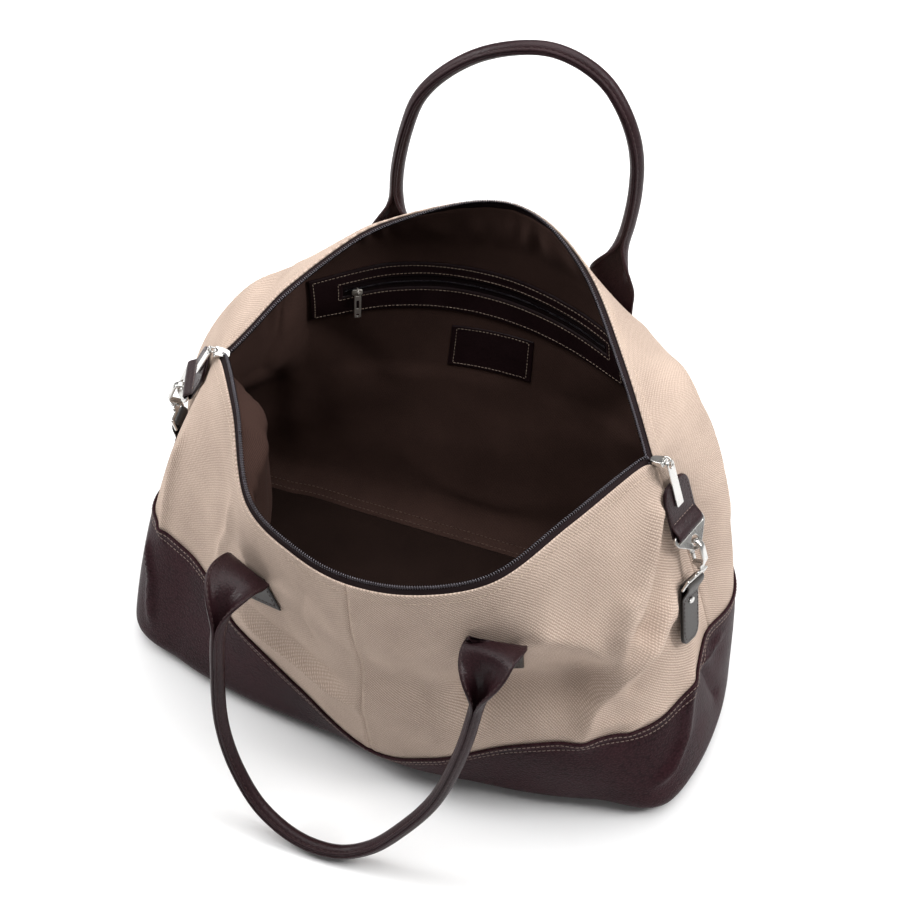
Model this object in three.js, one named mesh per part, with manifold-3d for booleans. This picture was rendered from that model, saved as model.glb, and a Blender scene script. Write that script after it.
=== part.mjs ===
// Open canvas and leather weekender bag, standing on its base with the zipped mouth wide open.
// Millimetres, +Z up, +X to the bag's right, -Y to its front. The origin is the middle of the base
// on the floor. The soft walls come from one wall surface: a row of stations round the bag gives the
// base, the belly, the rim and the top of the leather, and a table of folds is laid over it.

import * as THREE from 'three';
import Module from 'manifold-3d';

const wasm = await Module();
wasm.setup();

// Wall layers, as distances outward from the wall surface.
const LEATHER = { inner: 0.3, outer: 2.0 };
const CANVAS = { inner: -1.5, outer: 0 };
const ZIP_TAPE = { inner: -2.4, outer: -1.8 };
const ZIP_COIL = { inner: -3.6, outer: -0.6 };
const LINING = { inner: -3.5, outer: -2.7 };
const LINING_LOW = { inner: -0.9, outer: -0.1 };
const HANDLE_PATCH = { inner: 0.8, outer: 2.3 };
const POCKET_TAPE = { inner: -4.6, outer: -4.1 };
const POCKET_COIL = { inner: -6.5, outer: -4.9 };
const POCKET_FRAME = { inner: -6.3, outer: -4.9 };
const LABEL = { inner: -5.4, outer: -4.0 };

// The wall.
const BOTTOM_ROUND = 22;
const LEATHER_LAP = 9;
const SEAM_GAP = 0.25;
const COLUMNS_PER_STATION = 3;
const BOTTOM_ROWS = [-1, -0.67, -0.33, 0];
const CANVAS_ROWS = [0.18, 0.36, 0.53, 0.68, 0.8, 0.9];
const ZIP_SEAM_Q = 0.97;
const FLOOR_SHRINK = 0.997;

// A station is a vertical line on the wall. face is the way the belly is pushed out, in degrees
// round from +X, and bellyAt the share of the height where the belly is deepest.
const STATION_COLUMNS = [
  'name', 'baseX', 'baseY', 'rimX', 'rimY', 'rimZ', 'face', 'belly', 'bellyAt', 'leatherZ',
];
const STATIONS = [
  ['end_left', -273, 0, -202, 0, 289, 180, 10, 0.5, 145],
  ['left_front_ridge', -262, -108, -190, -12, 296, 235, 22, 0.66, 149],
  ['front_left_a', -204, -135, -157, -60, 298, 262, 8, 0.55, 143],
  ['front_left_b', -138, -148, -114, -128, 272, 268, 2, 0.4, 118],
  ['front_left_c', -66, -152, -59, -156, 265, 270, 4, 0.3, 75],
  ['front_centre', 8, -147, -10, -165, 262, 270, 21, 0.17, 35],
  ['front_right_c', 66, -150, 44, -166, 275, 270, 20, 0.21, 60],
  ['front_right_b', 129, -149, 102, -144, 290, 272, 12, 0.42, 91],
  ['front_right_a', 200, -131, 146, -80, 309, 278, 32, 0.45, 113],
  ['right_front_ridge', 266, -110, 180, -10, 314, 288, 31, 0.77, 115],
  ['end_right', 281, -4, 190, 0, 310, 0, 10, 0.5, 128],
  ['right_back_ridge', 247, 91, 184, 10, 312, 72, 71, 0.95, 106],
  ['back_right_a', 192, 118, 140, 75, 334, 82, 65, 0.86, 110],
  ['back_right_b', 121, 122, 76, 158, 352, 88, 42, 0.72, 84],
  ['back_centre', 0, 121, -5, 195, 365, 90, 30, 0.6, 38],
  ['back_left_b', -118, 120, -104, 161, 338, 92, 40, 0.78, 84],
  ['back_left_a', -193, 118, -165, 80, 311, 98, 58, 0.82, 118],
  ['left_back_ridge', -252, 100, -196, 14, 291, 108, 76, 0.95, 138],
].map(namedRow(STATION_COLUMNS));
const U_LEFT = 0;
const U_FRONT = 5;
const U_RIGHT = 10;
const U_BACK = 14;

// A fold is a soft ridge, or a dent where its height is below zero, along a straight line on the wall.
const FOLD_COLUMNS = ['name', 'fromU', 'fromQ', 'toU', 'toQ', 'width', 'height'];
const FOLDS = [
  ['right_corner_upper', 9.3, 0.9, 8.78, 0.71, 15, 5],
  ['right_corner_lower', 8.78, 0.71, 8.52, 0.5, 15, 6],
  ['right_slump_upper', 9.25, 0.62, 8.95, 0.56, 13, 5],
  ['right_slump_lower', 8.95, 0.56, 8.03, 0.33, 14, 7],
  ['right_front_dent', 7.5, 0.6, 8.0, 0.42, 36, -8],
  ['left_front_crease', 3.0, 0.41, 4.9, 0.33, 12, 3],
  ['left_front_dent', 3.4, 0.62, 4.4, 0.5, 40, -4],
  ['back_right_crease', 12.2, 0.62, 13.2, 0.36, 15, 5],
  ['back_left_crease', 16.0, 0.6, 15.1, 0.36, 15, 5],
].map(namedRow(FOLD_COLUMNS));
const FOLD_MM_PER_U = 62;
const FOLD_MM_PER_Q = 270;

// The mouth zip.
const TAPE_HEIGHTS = [4, 8];
const TAPE_LEAN = 0.35;
const TAPE_END_U = 1;
const COIL_FROM = 8.7;
const COIL_TO = 11.2;

// Handles: a flat flared end at each root that closes into a round roll.
const ROLL_RADIUS = 6.6;
const FLARE_HALF_WIDTH = 20;
const FLARE_HALF_THICKNESS = 1.7;
const FLARE_LENGTH = 60;
const HANDLE_SIDES = 12;
const HANDLE_STEPS = 44;
// A root is given by points on the wall, as u, q and the distance from it; the free points are in mm.
const FRONT_HANDLE = {
  startRoot: [[3.24, 0.742, 2.8], [3.24, 0.744, 11]],
  freePoints: [
    [-112, -163, 217], [-113, -181, 210], [-113, -197, 192], [-112, -209, 157], [-104, -229, 100],
    [-86, -243, 58], [-60, -254, 27], [-24, -260, 9], [10, -259, 8.5], [38, -252, 22], [64, -241, 52],
    [88, -226, 91], [104, -207, 146], [110, -192, 190], [112, -180, 221], [112, -169, 236],
  ],
  endRoot: [[7.04, 0.762, 11.2], [7.04, 0.76, 3]],
  flatEnd: 0,
  rootFace: (u, q) => alongQ(wall, u, q).normalize(),
  loopFace: new THREE.Vector3(0, -0.88, 0.47),
};
const BACK_HANDLE = {
  startRoot: [[15.1, 0.7, 4.3], [15.1, 0.78, 4.5]],
  freePoints: [
    [-117, 199, 320], [-117, 200, 345], [-115, 202, 368], [-108, 206, 405], [-97, 212, 440],
    [-78, 217, 466], [-46, 221, 492], [-10, 224, 507], [17, 226, 510], [42, 226, 504], [63, 225, 491],
    [79, 222, 472], [91, 219, 448], [97, 216, 425], [99, 212, 395], [97, 208, 364], [92, 206, 332],
  ],
  endRoot: [[12.98, 0.78, 5.8], [12.98, 0.7, 5.6]],
  flatEnd: 40,
  rootFace: (u, q) => outward(wall, u, q),
  loopFace: new THREE.Vector3(0, 0.99, -0.12),
};
const HANDLE_PATCHES = [
  { name: 'handle_patch_front_left', uFrom: 2.9, uTo: 3.64, qFrom: 0.61, qTo: 0.755 },
  { name: 'handle_patch_front_right', uFrom: 6.72, uTo: 7.42, qFrom: 0.61, qTo: 0.77 },
  { name: 'handle_patch_back_right', uFrom: 12.75, uTo: 13.2, qFrom: 0.67, qTo: 0.79 },
  { name: 'handle_patch_back_left', uFrom: 14.9, uTo: 15.3, qFrom: 0.67, qTo: 0.79 },
];

// The strap hardware of each end, placed by points on the end wall: the top of the zip tab, the bar
// of the triangle, the bar of the hook's loop and the tip of the folded strap below it.
const ENDS = [
  {
    side: 'left', tipU: U_LEFT, tabTop: [-0.25, 0.965], ringBar: [-0.25, 0.8],
    loopBar: [-0.1, 0.605], chapeTip: [0.22, 0.375],
  },
  {
    side: 'right', tipU: U_RIGHT, tabTop: [10.12, 0.97], ringBar: [9.84, 0.805],
    loopBar: [9.58, 0.645], chapeTip: [9.38, 0.45],
  },
];
const STRAP = 1.7;
const BAR_HALF = 1.9;
const FOLD_RADIUS = 3.8;
const FOLD_TAPER = [5, 11];
const TAB_LENGTH = 46;
const TAB_HALF_WIDTH = 17;
const CHAPE_LENGTH = 52;
const CHAPE_HALF_WIDTH = 15.5;
const RING_TILT = THREE.MathUtils.degToRad(-16);
const RING = { halfWidth: 21, slotHalf: 17.8, slotLow: -5.3, holeY: -13.5, holeR: 4.6, apex: -21.8 };
const RING_THICKNESS = 2.2;
const LOOP = { halfWidth: 19.5, slotHalf: 16.2, slotTop: 7, top: 10.2, bossHalf: 5, bossTop: 14 };
const LOOP_TILT = THREE.MathUtils.degToRad(32);
const LOOP_THICKNESS = 2.6;
const HOOK = { arm: 3.2, halfOpening: 4.2, width: 4.6, bodyHeight: 7, noseDrop: 6, bossGap: 2.3 };
const GATE = { thickness: 2.0, width: 3.8, gap: 0.6 };
const METAL_RISE = 2.4;
const FACING_U = 0.22;
const RIVET = { halfLong: 4.6, halfShort: 2.4, height: 1.3, below: 16 };

// Zip sliders with their pullers.
const MAIN_SLIDER = {
  bodyHalfWidth: 4.6, bodyBack: -12.5, bodyFront: 1.4, bodyLow: 2, bodyHigh: 6.6,
  ringOut: 4.9, ringIn: 3.2, ringHalfWidth: 1.2, ringN: 3.2, ringUp: 6.4,
  pullerHalfWidth: 4.4, pullerLength: 40, pullerThickness: 1.6, hole: 2.9, tailHole: 0,
};
const POCKET_SLIDER = {
  bodyHalfWidth: 5, bodyBack: -1.2, bodyFront: 0.6, bodyLow: -3.6, bodyHigh: 3.6,
  ringOut: 3.5, ringIn: 2.2, ringHalfWidth: 0.9, ringN: 1.3, ringUp: 2.6,
  pullerHalfWidth: 3.2, pullerLength: 31, pullerThickness: 1.2, hole: 2.3, tailHole: 1.5,
};
const PULLER_HANG = THREE.MathUtils.degToRad(-60);

// Inside pocket and blank label on the back lining.
const POCKET = { uFrom: 12.7, uTo: 15.95, cells: 13, slotCells: [1, 12], slotShares: [0.47, 0.71] };
const POCKET_ENDS = { lowFrom: 0.545, lowTo: 0.64, highFrom: 0.7, highTo: 0.8 };
const POCKET_COIL_SHARES = [0.555, 0.625];
const POCKET_TAPE_LAP = 0.1;
const POCKET_SLIDER_U = 15.5;
const LABEL_PLACE = { uFrom: 13.74, uTo: 14.46, qFrom: 0.43, qTo: 0.545 };

const LEATHER_BROWN = { color: 0x33242a, roughness: 0.5, metalness: 0 };
const CANVAS_SAND = { color: 0xbfa994, roughness: 0.9, metalness: 0 };
const LINING_BROWN = { color: 0x32231e, roughness: 0.85, metalness: 0 };
const ZIP_DARK = { color: 0x241c20, roughness: 0.6, metalness: 0 };
const COIL_DARK = { color: 0x35323a, roughness: 0.35, metalness: 0.6 };
const STEEL = { color: 0xc8c8c6, roughness: 0.22, metalness: 1 };
const PATCH_GREY = { color: 0x3c3a38, roughness: 0.5, metalness: 0 };

const bag = new THREE.Group();

// Turns a row of a table into an object with the table's column names.
function namedRow(columns) {
  return (row) => Object.fromEntries(columns.map((column, i) => [column, row[i]]));
}

function addMesh(name, geometry, finish, frame) {
  const mesh = new THREE.Mesh(geometry, new THREE.MeshStandardMaterial(finish));
  mesh.name = name;
  if (frame) {
    mesh.applyMatrix4(frame);
  }
  bag.add(mesh);
  return mesh;
}

// The wall surface.

const CURVE_KEYS = [
  'baseX', 'baseY', 'rimX', 'rimY', 'rimZ', 'faceX', 'faceY', 'belly', 'bellyAt', 'leatherZ',
];
for (const station of STATIONS) {
  station.faceX = Math.cos(THREE.MathUtils.degToRad(station.face));
  station.faceY = Math.sin(THREE.MathUtils.degToRad(station.face));
}
const STATION_STEPS = STATIONS.map((station, i) => {
  const next = STATIONS[(i + 1) % STATIONS.length];
  const alongBase = Math.hypot(next.baseX - station.baseX, next.baseY - station.baseY);
  const alongRim = Math.hypot(next.rimX - station.rimX, next.rimY - station.rimY, next.rimZ - station.rimZ);
  return (alongBase + alongRim) / 2;
});

// The station's columns at any place u round the bag, by a smooth curve through the table.
function stationAt(u) {
  const count = STATIONS.length;
  const turn = ((u % count) + count) % count;
  const i = Math.floor(turn) % count;
  const f = turn - Math.floor(turn);
  const [before, here, next, after] = [-1, 0, 1, 2].map((k) => (i + k + count) % count);
  const [hBefore, h, hNext] = [before, here, next].map((k) => STATION_STEPS[k]);
  const result = {};
  for (const key of CURVE_KEYS) {
    const p0 = STATIONS[here][key];
    const p1 = STATIONS[next][key];
    const slope = (p1 - p0) / h;
    const slopeBefore = (p0 - STATIONS[before][key]) / hBefore;
    const slopeNext = (STATIONS[after][key] - p1) / hNext;
    const m0 = (slopeBefore * h + slope * hBefore) / (h + hBefore);
    const m1 = (slope * hNext + slopeNext * h) / (h + hNext);
    result[key] = (2 * f ** 3 - 3 * f ** 2 + 1) * p0 + (f ** 3 - 2 * f ** 2 + f) * h * m0
      + (3 * f ** 2 - 2 * f ** 3) * p1 + (f ** 3 - f ** 2) * h * m1;
  }
  return result;
}

function hump(share, peak) {
  const side = share < peak ? share / peak : (1 - share) / (1 - peak);
  const rise = THREE.MathUtils.clamp(side, 0, 1);
  return rise * (2 - rise);
}

// The wall without its folds: q runs from -1 at the bottom through 0 at the top of the bottom's
// round edge to 1 at the rim.
function plainWall(u, q) {
  const s = stationAt(u);
  const low = LEATHER.outer;
  const turn = THREE.MathUtils.clamp(q + 1, 0, 1) * Math.PI / 2;
  const inset = BOTTOM_ROUND * (1 - Math.sin(turn));
  const wallFoot = low + BOTTOM_ROUND;
  const z = q < 0 ? low + BOTTOM_ROUND * (1 - Math.cos(turn)) : wallFoot + (s.rimZ - wallFoot) * q;
  const share = (z - low) / (s.rimZ - low);
  const push = (s.belly * hump(share, s.bellyAt) - inset) / Math.hypot(s.faceX, s.faceY);
  return new THREE.Vector3(
    s.baseX + (s.rimX - s.baseX) * share + s.faceX * push,
    s.baseY + (s.rimY - s.baseY) * share + s.faceY * push,
    z,
  );
}

const STEP = 1e-3;

function alongU(surface, u, q) {
  return surface(u + STEP, q).sub(surface(u - STEP, q)).divideScalar(2 * STEP);
}

function alongQ(surface, u, q) {
  const high = Math.min(q + STEP, 1);
  const low = Math.max(q - STEP, -1);
  return surface(u, high).sub(surface(u, low)).divideScalar(high - low);
}

function outward(surface, u, q) {
  if (q <= -1) {
    return new THREE.Vector3(0, 0, -1);
  }
  return alongU(surface, u, q).cross(alongQ(surface, u, q)).normalize();
}

function foldHeight(u, q) {
  let height = 0;
  for (const fold of FOLDS) {
    const dirX = (fold.toU - fold.fromU) * FOLD_MM_PER_U;
    const dirY = (fold.toQ - fold.fromQ) * FOLD_MM_PER_Q;
    const x = (u - fold.fromU) * FOLD_MM_PER_U;
    const y = (q - fold.fromQ) * FOLD_MM_PER_Q;
    const along = THREE.MathUtils.clamp((x * dirX + y * dirY) / (dirX ** 2 + dirY ** 2), 0, 1);
    const away = Math.hypot(x - along * dirX, y - along * dirY) / fold.width;
    height += fold.height * Math.exp(-away * away);
  }
  return height;
}

function wall(u, q) {
  const point = plainWall(u, q);
  const height = foldHeight(u, q);
  return point.addScaledVector(outward(plainWall, u, q), height);
}

function wallSpot(u, q) {
  return { q, p: wall(u, q), n: outward(wall, u, q) };
}

function leatherQ(u, below = 0) {
  const s = stationAt(u);
  const wallFoot = LEATHER.outer + BOTTOM_ROUND;
  return (s.leatherZ - below - wallFoot) / (s.rimZ - wallFoot);
}

// One grid of wall spots is shared by every wall layer, so that their facets stay parallel.
const LAP_ROW = BOTTOM_ROWS.length + 1;
const LEATHER_TOP_ROW = LAP_ROW + 1;

function columnRows(u) {
  const lap = leatherQ(u, LEATHER_LAP);
  const top = leatherQ(u);
  const canvas = CANVAS_ROWS.map((share) => top + (1 - top) * share);
  return [...BOTTOM_ROWS, lap / 2, lap, top, ...canvas, ZIP_SEAM_Q, 1];
}

const COLUMN_COUNT = STATIONS.length * COLUMNS_PER_STATION;
const GRID = Array.from({ length: COLUMN_COUNT }, (_, i) => {
  const u = i / COLUMNS_PER_STATION;
  return columnRows(u).map((q) => wallSpot(u, q));
});
const ROW_COUNT = GRID[0].length;

function gridColumn(i) {
  return GRID[((i % COLUMN_COUNT) + COLUMN_COUNT) % COLUMN_COUNT];
}

// The grid columns of a panel from one u to another, its two side edges drawn in by half a seam gap.
function panelColumns(uFrom, uTo) {
  const first = Math.round(uFrom * COLUMNS_PER_STATION);
  const last = Math.round(uTo * COLUMNS_PER_STATION);
  const columns = [];
  for (let i = first; i <= last; i += 1) {
    const inset = i === first ? 1 : (i === last ? -1 : 0);
    columns.push(gridColumn(i).map((spot) => {
      if (inset === 0) {
        return spot;
      }
      const side = alongU(wall, i / COLUMNS_PER_STATION, spot.q).normalize();
      return { ...spot, p: spot.p.clone().addScaledVector(side, inset * SEAM_GAP) };
    }));
  }
  return columns;
}

// The point of the faceted wall at any u and q, for what is sewn on it.
function facetSpot(u, q) {
  const across = u * COLUMNS_PER_STATION;
  const i = Math.floor(across);
  const fu = across - i;
  const left = gridColumn(i);
  const right = gridColumn(i + 1);
  const rowQ = (j) => left[j].q + (right[j].q - left[j].q) * fu;
  let j = 0;
  while (j < ROW_COUNT - 2 && rowQ(j + 1) < q) {
    j += 1;
  }
  const fv = (q - rowQ(j)) / (rowQ(j + 1) - rowQ(j));
  const blend = (key) => {
    const corner = left[j][key].clone();
    if (fu >= fv) {
      return corner.addScaledVector(right[j][key].clone().sub(left[j][key]), fu)
        .addScaledVector(right[j + 1][key].clone().sub(right[j][key]), fv);
    }
    return corner.addScaledVector(left[j + 1][key].clone().sub(left[j][key]), fv)
      .addScaledVector(right[j + 1][key].clone().sub(left[j + 1][key]), fu);
  };
  return { q, p: blend('p'), n: blend('n').normalize() };
}

// Closed meshes from grids.

class MeshBuilder {
  constructor() {
    this.points = [];
    this.faces = [];
  }

  point(p) {
    this.points.push(p.x, p.y, p.z);
    return this.points.length / 3 - 1;
  }

  quad(a, b, c, d) {
    this.faces.push(a, b, c, a, c, d);
  }

  geometry() {
    const geometry = new THREE.BufferGeometry();
    geometry.setAttribute('position', new THREE.Float32BufferAttribute(this.points, 3));
    geometry.setIndex(this.faces);
    geometry.computeVertexNormals();
    return geometry;
  }
}

// A sheet between two distances from a grid of spots, columns[i][j]. A layer may be a function of the
// row. ring joins the last column to the first, open leaves out cells, and floor closes the bottom row
// with a flat plate instead of an edge.
function sheet(columns, layer, { ring = false, open = () => false, floor = false } = {}) {
  const layerAt = typeof layer === 'function' ? layer : () => layer;
  const builder = new MeshBuilder();
  const rows = columns[0].length;
  const made = new Map();
  const corner = (i, j, side) => {
    const key = `${i % columns.length},${j},${side}`;
    if (!made.has(key)) {
      const spot = columns[i % columns.length][j];
      made.set(key, builder.point(spot.p.clone().addScaledVector(spot.n, layerAt(j)[side])));
    }
    return made.get(key);
  };
  const cells = ring ? columns.length : columns.length - 1;
  const isOpen = (i, j) => {
    const inside = j >= 0 && j < rows - 1 && (ring || (i >= 0 && i < cells));
    return !inside || open((i + cells) % cells, j);
  };
  const middle = {};
  if (floor) {
    for (const side of ['outer', 'inner']) {
      const z = columns[0][0].p.z + columns[0][0].n.z * layerAt(0)[side];
      middle[side] = builder.point(new THREE.Vector3(0, 0, z));
    }
  }
  for (let i = 0; i < cells; i += 1) {
    for (let j = 0; j < rows - 1; j += 1) {
      if (isOpen(i, j)) {
        continue;
      }
      const loop = [[i, j], [i + 1, j], [i + 1, j + 1], [i, j + 1]];
      const [a, b, c, d] = loop.map(([m, k]) => corner(m, k, 'outer'));
      const [e, f, g, h] = loop.map(([m, k]) => corner(m, k, 'inner'));
      builder.quad(a, b, c, d);
      builder.faces.push(e, g, f, e, h, g);
      if (floor && j === 0) {
        builder.faces.push(b, a, middle.outer, e, f, middle.inner);
      } else if (isOpen(i, j - 1)) {
        builder.quad(b, a, e, f);
      }
      if (isOpen(i + 1, j)) {
        builder.quad(c, b, f, g);
      }
      if (isOpen(i, j + 1)) {
        builder.quad(d, c, g, h);
      }
      if (isOpen(i - 1, j)) {
        builder.quad(a, d, h, e);
      }
    }
  }
  return builder.geometry();
}

// A tube of closed sections, each a ring of points, with flat ends.
function loft(sections) {
  const builder = new MeshBuilder();
  const rings = sections.map((section) => section.map((p) => builder.point(p)));
  const sides = sections[0].length;
  for (let k = 0; k < rings.length - 1; k += 1) {
    for (let i = 0; i < sides; i += 1) {
      const next = (i + 1) % sides;
      builder.quad(rings[k][i], rings[k][next], rings[k + 1][next], rings[k + 1][i]);
    }
  }
  const first = rings[0];
  const last = rings[rings.length - 1];
  for (let i = 1; i < sides - 1; i += 1) {
    builder.faces.push(first[0], first[i + 1], first[i]);
    builder.faces.push(last[0], last[i], last[i + 1]);
  }
  return builder.geometry();
}

// Body.

function smoothRise(x) {
  return THREE.MathUtils.smoothstep(x, 0, 1);
}

function liningLayer(row) {
  const share = smoothRise((row - BOTTOM_ROWS.length + 1) / (LAP_ROW - BOTTOM_ROWS.length + 1));
  return {
    inner: THREE.MathUtils.lerp(LINING_LOW.inner, LINING.inner, share),
    outer: THREE.MathUtils.lerp(LINING_LOW.outer, LINING.outer, share),
  };
}

function buildBody() {
  const cup = GRID.map((column) => column.slice(0, LEATHER_TOP_ROW + 1));
  addMesh('leather_base', sheet(cup, LEATHER, { ring: true, floor: true }), LEATHER_BROWN);

  const turns = STATIONS.length;
  const panels = [
    ['canvas_front_left', U_LEFT, U_FRONT],
    ['canvas_front_right', U_FRONT, U_RIGHT],
    ['canvas_back_right', U_RIGHT, U_BACK],
    ['canvas_back_left', U_BACK, turns + U_LEFT],
  ];
  for (const [name, uFrom, uTo] of panels) {
    const columns = panelColumns(uFrom, uTo).map((column) => column.slice(LAP_ROW));
    addMesh(name, sheet(columns, CANVAS), CANVAS_SAND);
  }

  addMesh('lining_front', sheet(panelColumns(U_LEFT, U_RIGHT), liningLayer), LINING_BROWN);
  addMesh('lining_back', sheet(panelColumns(U_RIGHT, turns + U_LEFT), liningLayer), LINING_BROWN);
  const floorOutline = GRID.map((column) => {
    const p = column[0].p.clone().multiplyScalar(FLOOR_SHRINK);
    return new THREE.Vector2(p.x, p.y);
  });
  const floor = new THREE.ExtrudeGeometry(new THREE.Shape(floorOutline), {
    depth: LINING_LOW.outer - LINING_LOW.inner,
    bevelEnabled: false,
  });
  floor.translate(0, 0, LEATHER.outer - LINING_LOW.outer);
  addMesh('lining_bottom', floor, LINING_BROWN);
}

// Mouth zip: a tape sewn inside the rim that stands up and leans in, with the coil on its edge.

function tapeSpot(u, height) {
  const rim = wallSpot(u, 1);
  const up = alongQ(wall, u, 1).normalize();
  const fromTip = Math.min(Math.abs(u - U_LEFT), Math.abs(u - U_RIGHT), Math.abs(u - STATIONS.length));
  const lean = TAPE_LEAN * Math.min(1, fromTip / 2);
  const rise = Math.sqrt(1 - lean * lean);
  const way = up.clone().multiplyScalar(rise).addScaledVector(rim.n, -lean);
  const face = rim.n.clone().multiplyScalar(rise).addScaledVector(up, lean);
  return { q: 1, p: rim.p.addScaledVector(way, height), n: face.normalize() };
}

function buildMouthZip() {
  const halves = [
    ['front', U_LEFT + TAPE_END_U, U_RIGHT - TAPE_END_U],
    ['back', U_RIGHT + TAPE_END_U, STATIONS.length - TAPE_END_U],
  ];
  for (const [half, uFrom, uTo] of halves) {
    const cells = Math.round((uTo - uFrom) * COLUMNS_PER_STATION);
    const places = Array.from({ length: cells + 1 }, (_, i) => uFrom + i / COLUMNS_PER_STATION);
    const tape = places.map((u) => {
      const sewn = gridColumn(Math.round(u * COLUMNS_PER_STATION)).slice(ROW_COUNT - 2);
      return [...sewn, ...TAPE_HEIGHTS.map((height) => tapeSpot(u, height))];
    });
    const coil = places.map((u) => [tapeSpot(u, COIL_FROM), tapeSpot(u, COIL_TO)]);
    addMesh(`zip_tape_${half}`, sheet(tape, ZIP_TAPE), ZIP_DARK);
    addMesh(`zip_coil_${half}`, sheet(coil, ZIP_COIL), COIL_DARK);
  }
}

// Handles.

function handleSections(handle) {
  const offWall = ([u, q, away]) => wall(u, q).addScaledVector(outward(wall, u, q), away);
  const free = handle.freePoints.map((p) => new THREE.Vector3(...p));
  const route = [...handle.startRoot.map(offWall), ...free, ...handle.endRoot.map(offWall)];
  const curve = new THREE.CatmullRomCurve3(route, false, 'centripetal');
  const length = curve.getLength();
  const startFace = handle.rootFace(...handle.startRoot[0]);
  const endFace = handle.rootFace(...handle.endRoot[1]);
  const sections = [];
  for (let k = 0; k <= HANDLE_STEPS; k += 1) {
    const at = k / HANDLE_STEPS;
    const centre = curve.getPointAt(at);
    const along = curve.getTangentAt(at);
    const fromEnd = Math.min(at, 1 - at) * length;
    const closed = smoothRise((fromEnd - handle.flatEnd) / FLARE_LENGTH);
    const rootFace = at < 0.5 ? startFace : endFace;
    const face = rootFace.clone().lerp(handle.loopFace, closed);
    const side = along.clone().cross(face).normalize();
    const thick = side.clone().cross(along).normalize();
    const halfWidth = THREE.MathUtils.lerp(FLARE_HALF_WIDTH, ROLL_RADIUS, closed);
    const halfThick = THREE.MathUtils.lerp(FLARE_HALF_THICKNESS, ROLL_RADIUS, closed);
    const section = [];
    for (let i = 0; i < HANDLE_SIDES; i += 1) {
      const turn = 2 * Math.PI * i / HANDLE_SIDES;
      section.push(centre.clone()
        .addScaledVector(side, halfWidth * Math.cos(turn))
        .addScaledVector(thick, -halfThick * Math.sin(turn)));
    }
    sections.push(section);
  }
  return sections;
}

// A small rectangle of leather lying on the faceted wall.
function wallPatch(place, layer, across = 6, up = 5) {
  const columns = Array.from({ length: across + 1 }, (_, i) => {
    const u = THREE.MathUtils.lerp(place.uFrom, place.uTo, i / across);
    return Array.from({ length: up + 1 }, (_, j) => {
      const q = THREE.MathUtils.lerp(place.qFrom, place.qTo, j / up);
      return facetSpot(u, q);
    });
  });
  return sheet(columns, layer);
}

function buildHandles() {
  addMesh('handle_front', loft(handleSections(FRONT_HANDLE)), LEATHER_BROWN);
  addMesh('handle_back', loft(handleSections(BACK_HANDLE)), LEATHER_BROWN);
  for (const place of HANDLE_PATCHES) {
    addMesh(place.name, wallPatch(place, HANDLE_PATCH), PATCH_GREY);
  }
}

// Strap hardware. A frame has X across the strap, Y up along it and Z away from the wall.

function strapFrame(origin, toward, away) {
  const up = toward.clone().sub(origin);
  const z = away.clone().addScaledVector(up, -away.dot(up) / up.lengthSq()).normalize();
  const y = up.normalize();
  const x = y.clone().cross(z);
  return new THREE.Matrix4().makeBasis(x, y, z).setPosition(origin);
}

// How far the frame has to move out so that the wall near u stays behind it over a rectangle.
function wallAbove(frame, nearU, halfWidth, yFrom, yTo) {
  const inverse = frame.clone().invert();
  let highest = -Infinity;
  for (let u = nearU - 1.2; u < nearU + 1.2; u += 0.04) {
    for (let q = 0.15; q <= 1; q += 0.0125) {
      const spot = facetSpot(u, q);
      const layer = q <= leatherQ(u) ? LEATHER.outer : CANVAS.outer;
      const p = spot.p.addScaledVector(spot.n, layer).applyMatrix4(inverse);
      if (Math.abs(p.x) < halfWidth && p.y > yFrom && p.y < yTo) {
        highest = Math.max(highest, p.z);
      }
    }
  }
  return highest;
}

function moved(frame, x, y, z, tilt = 0) {
  const shift = new THREE.Matrix4().makeRotationX(tilt).setPosition(x, y, z);
  return frame.clone().multiply(shift);
}

// A strap folded round a bar: up the wall inside, round the bar and back up over itself outside.
const BAR_Z = FOLD_RADIUS + STRAP / 2;
const STRAP_FACE = 2 * STRAP + 0.3;

function foldedStrap(length, halfWidthAt, way) {
  const inside = STRAP / 2;
  const outside = STRAP_FACE - STRAP / 2;
  const far = [1, 0.93, 0.86, 0.78, 0.5].map((share) => length * share);
  const line = [];
  for (const y of [...far, ...FOLD_TAPER.slice().reverse()]) {
    line.push([y, inside]);
  }
  const turns = 6;
  for (let k = 0; k <= turns; k += 1) {
    const turn = -Math.PI / 2 - Math.PI * k / turns;
    line.push([FOLD_RADIUS * Math.cos(turn), BAR_Z + FOLD_RADIUS * Math.sin(turn)]);
  }
  line.push([FOLD_TAPER[0], THREE.MathUtils.lerp(BAR_Z + FOLD_RADIUS, outside, 0.5)]);
  for (const y of [FOLD_TAPER[1], ...far.slice().reverse()]) {
    line.push([y, outside]);
  }
  const across = [-1, -0.5, 0, 0.5, 1];
  const columns = across.map((share) => line.map(([y, z], k) => {
    const [yBefore, zBefore] = line[Math.max(k - 1, 0)];
    const [yAfter, zAfter] = line[Math.min(k + 1, line.length - 1)];
    const n = new THREE.Vector3(0, way * (zBefore - zAfter), yAfter - yBefore).normalize();
    return { p: new THREE.Vector3(share * halfWidthAt(Math.max(y, 0)), way * y, z), n };
  }));
  const ordered = way > 0 ? columns : columns.reverse();
  return sheet(ordered, { inner: -STRAP / 2, outer: STRAP / 2 });
}

function roundedEnd(length, halfWidth, radius, endShare) {
  return (y) => {
    const into = Math.max(0, (y - (length - radius)) / radius);
    return halfWidth * (endShare + (1 - endShare) * Math.sqrt(Math.max(0, 1 - into * into)));
  };
}

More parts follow.
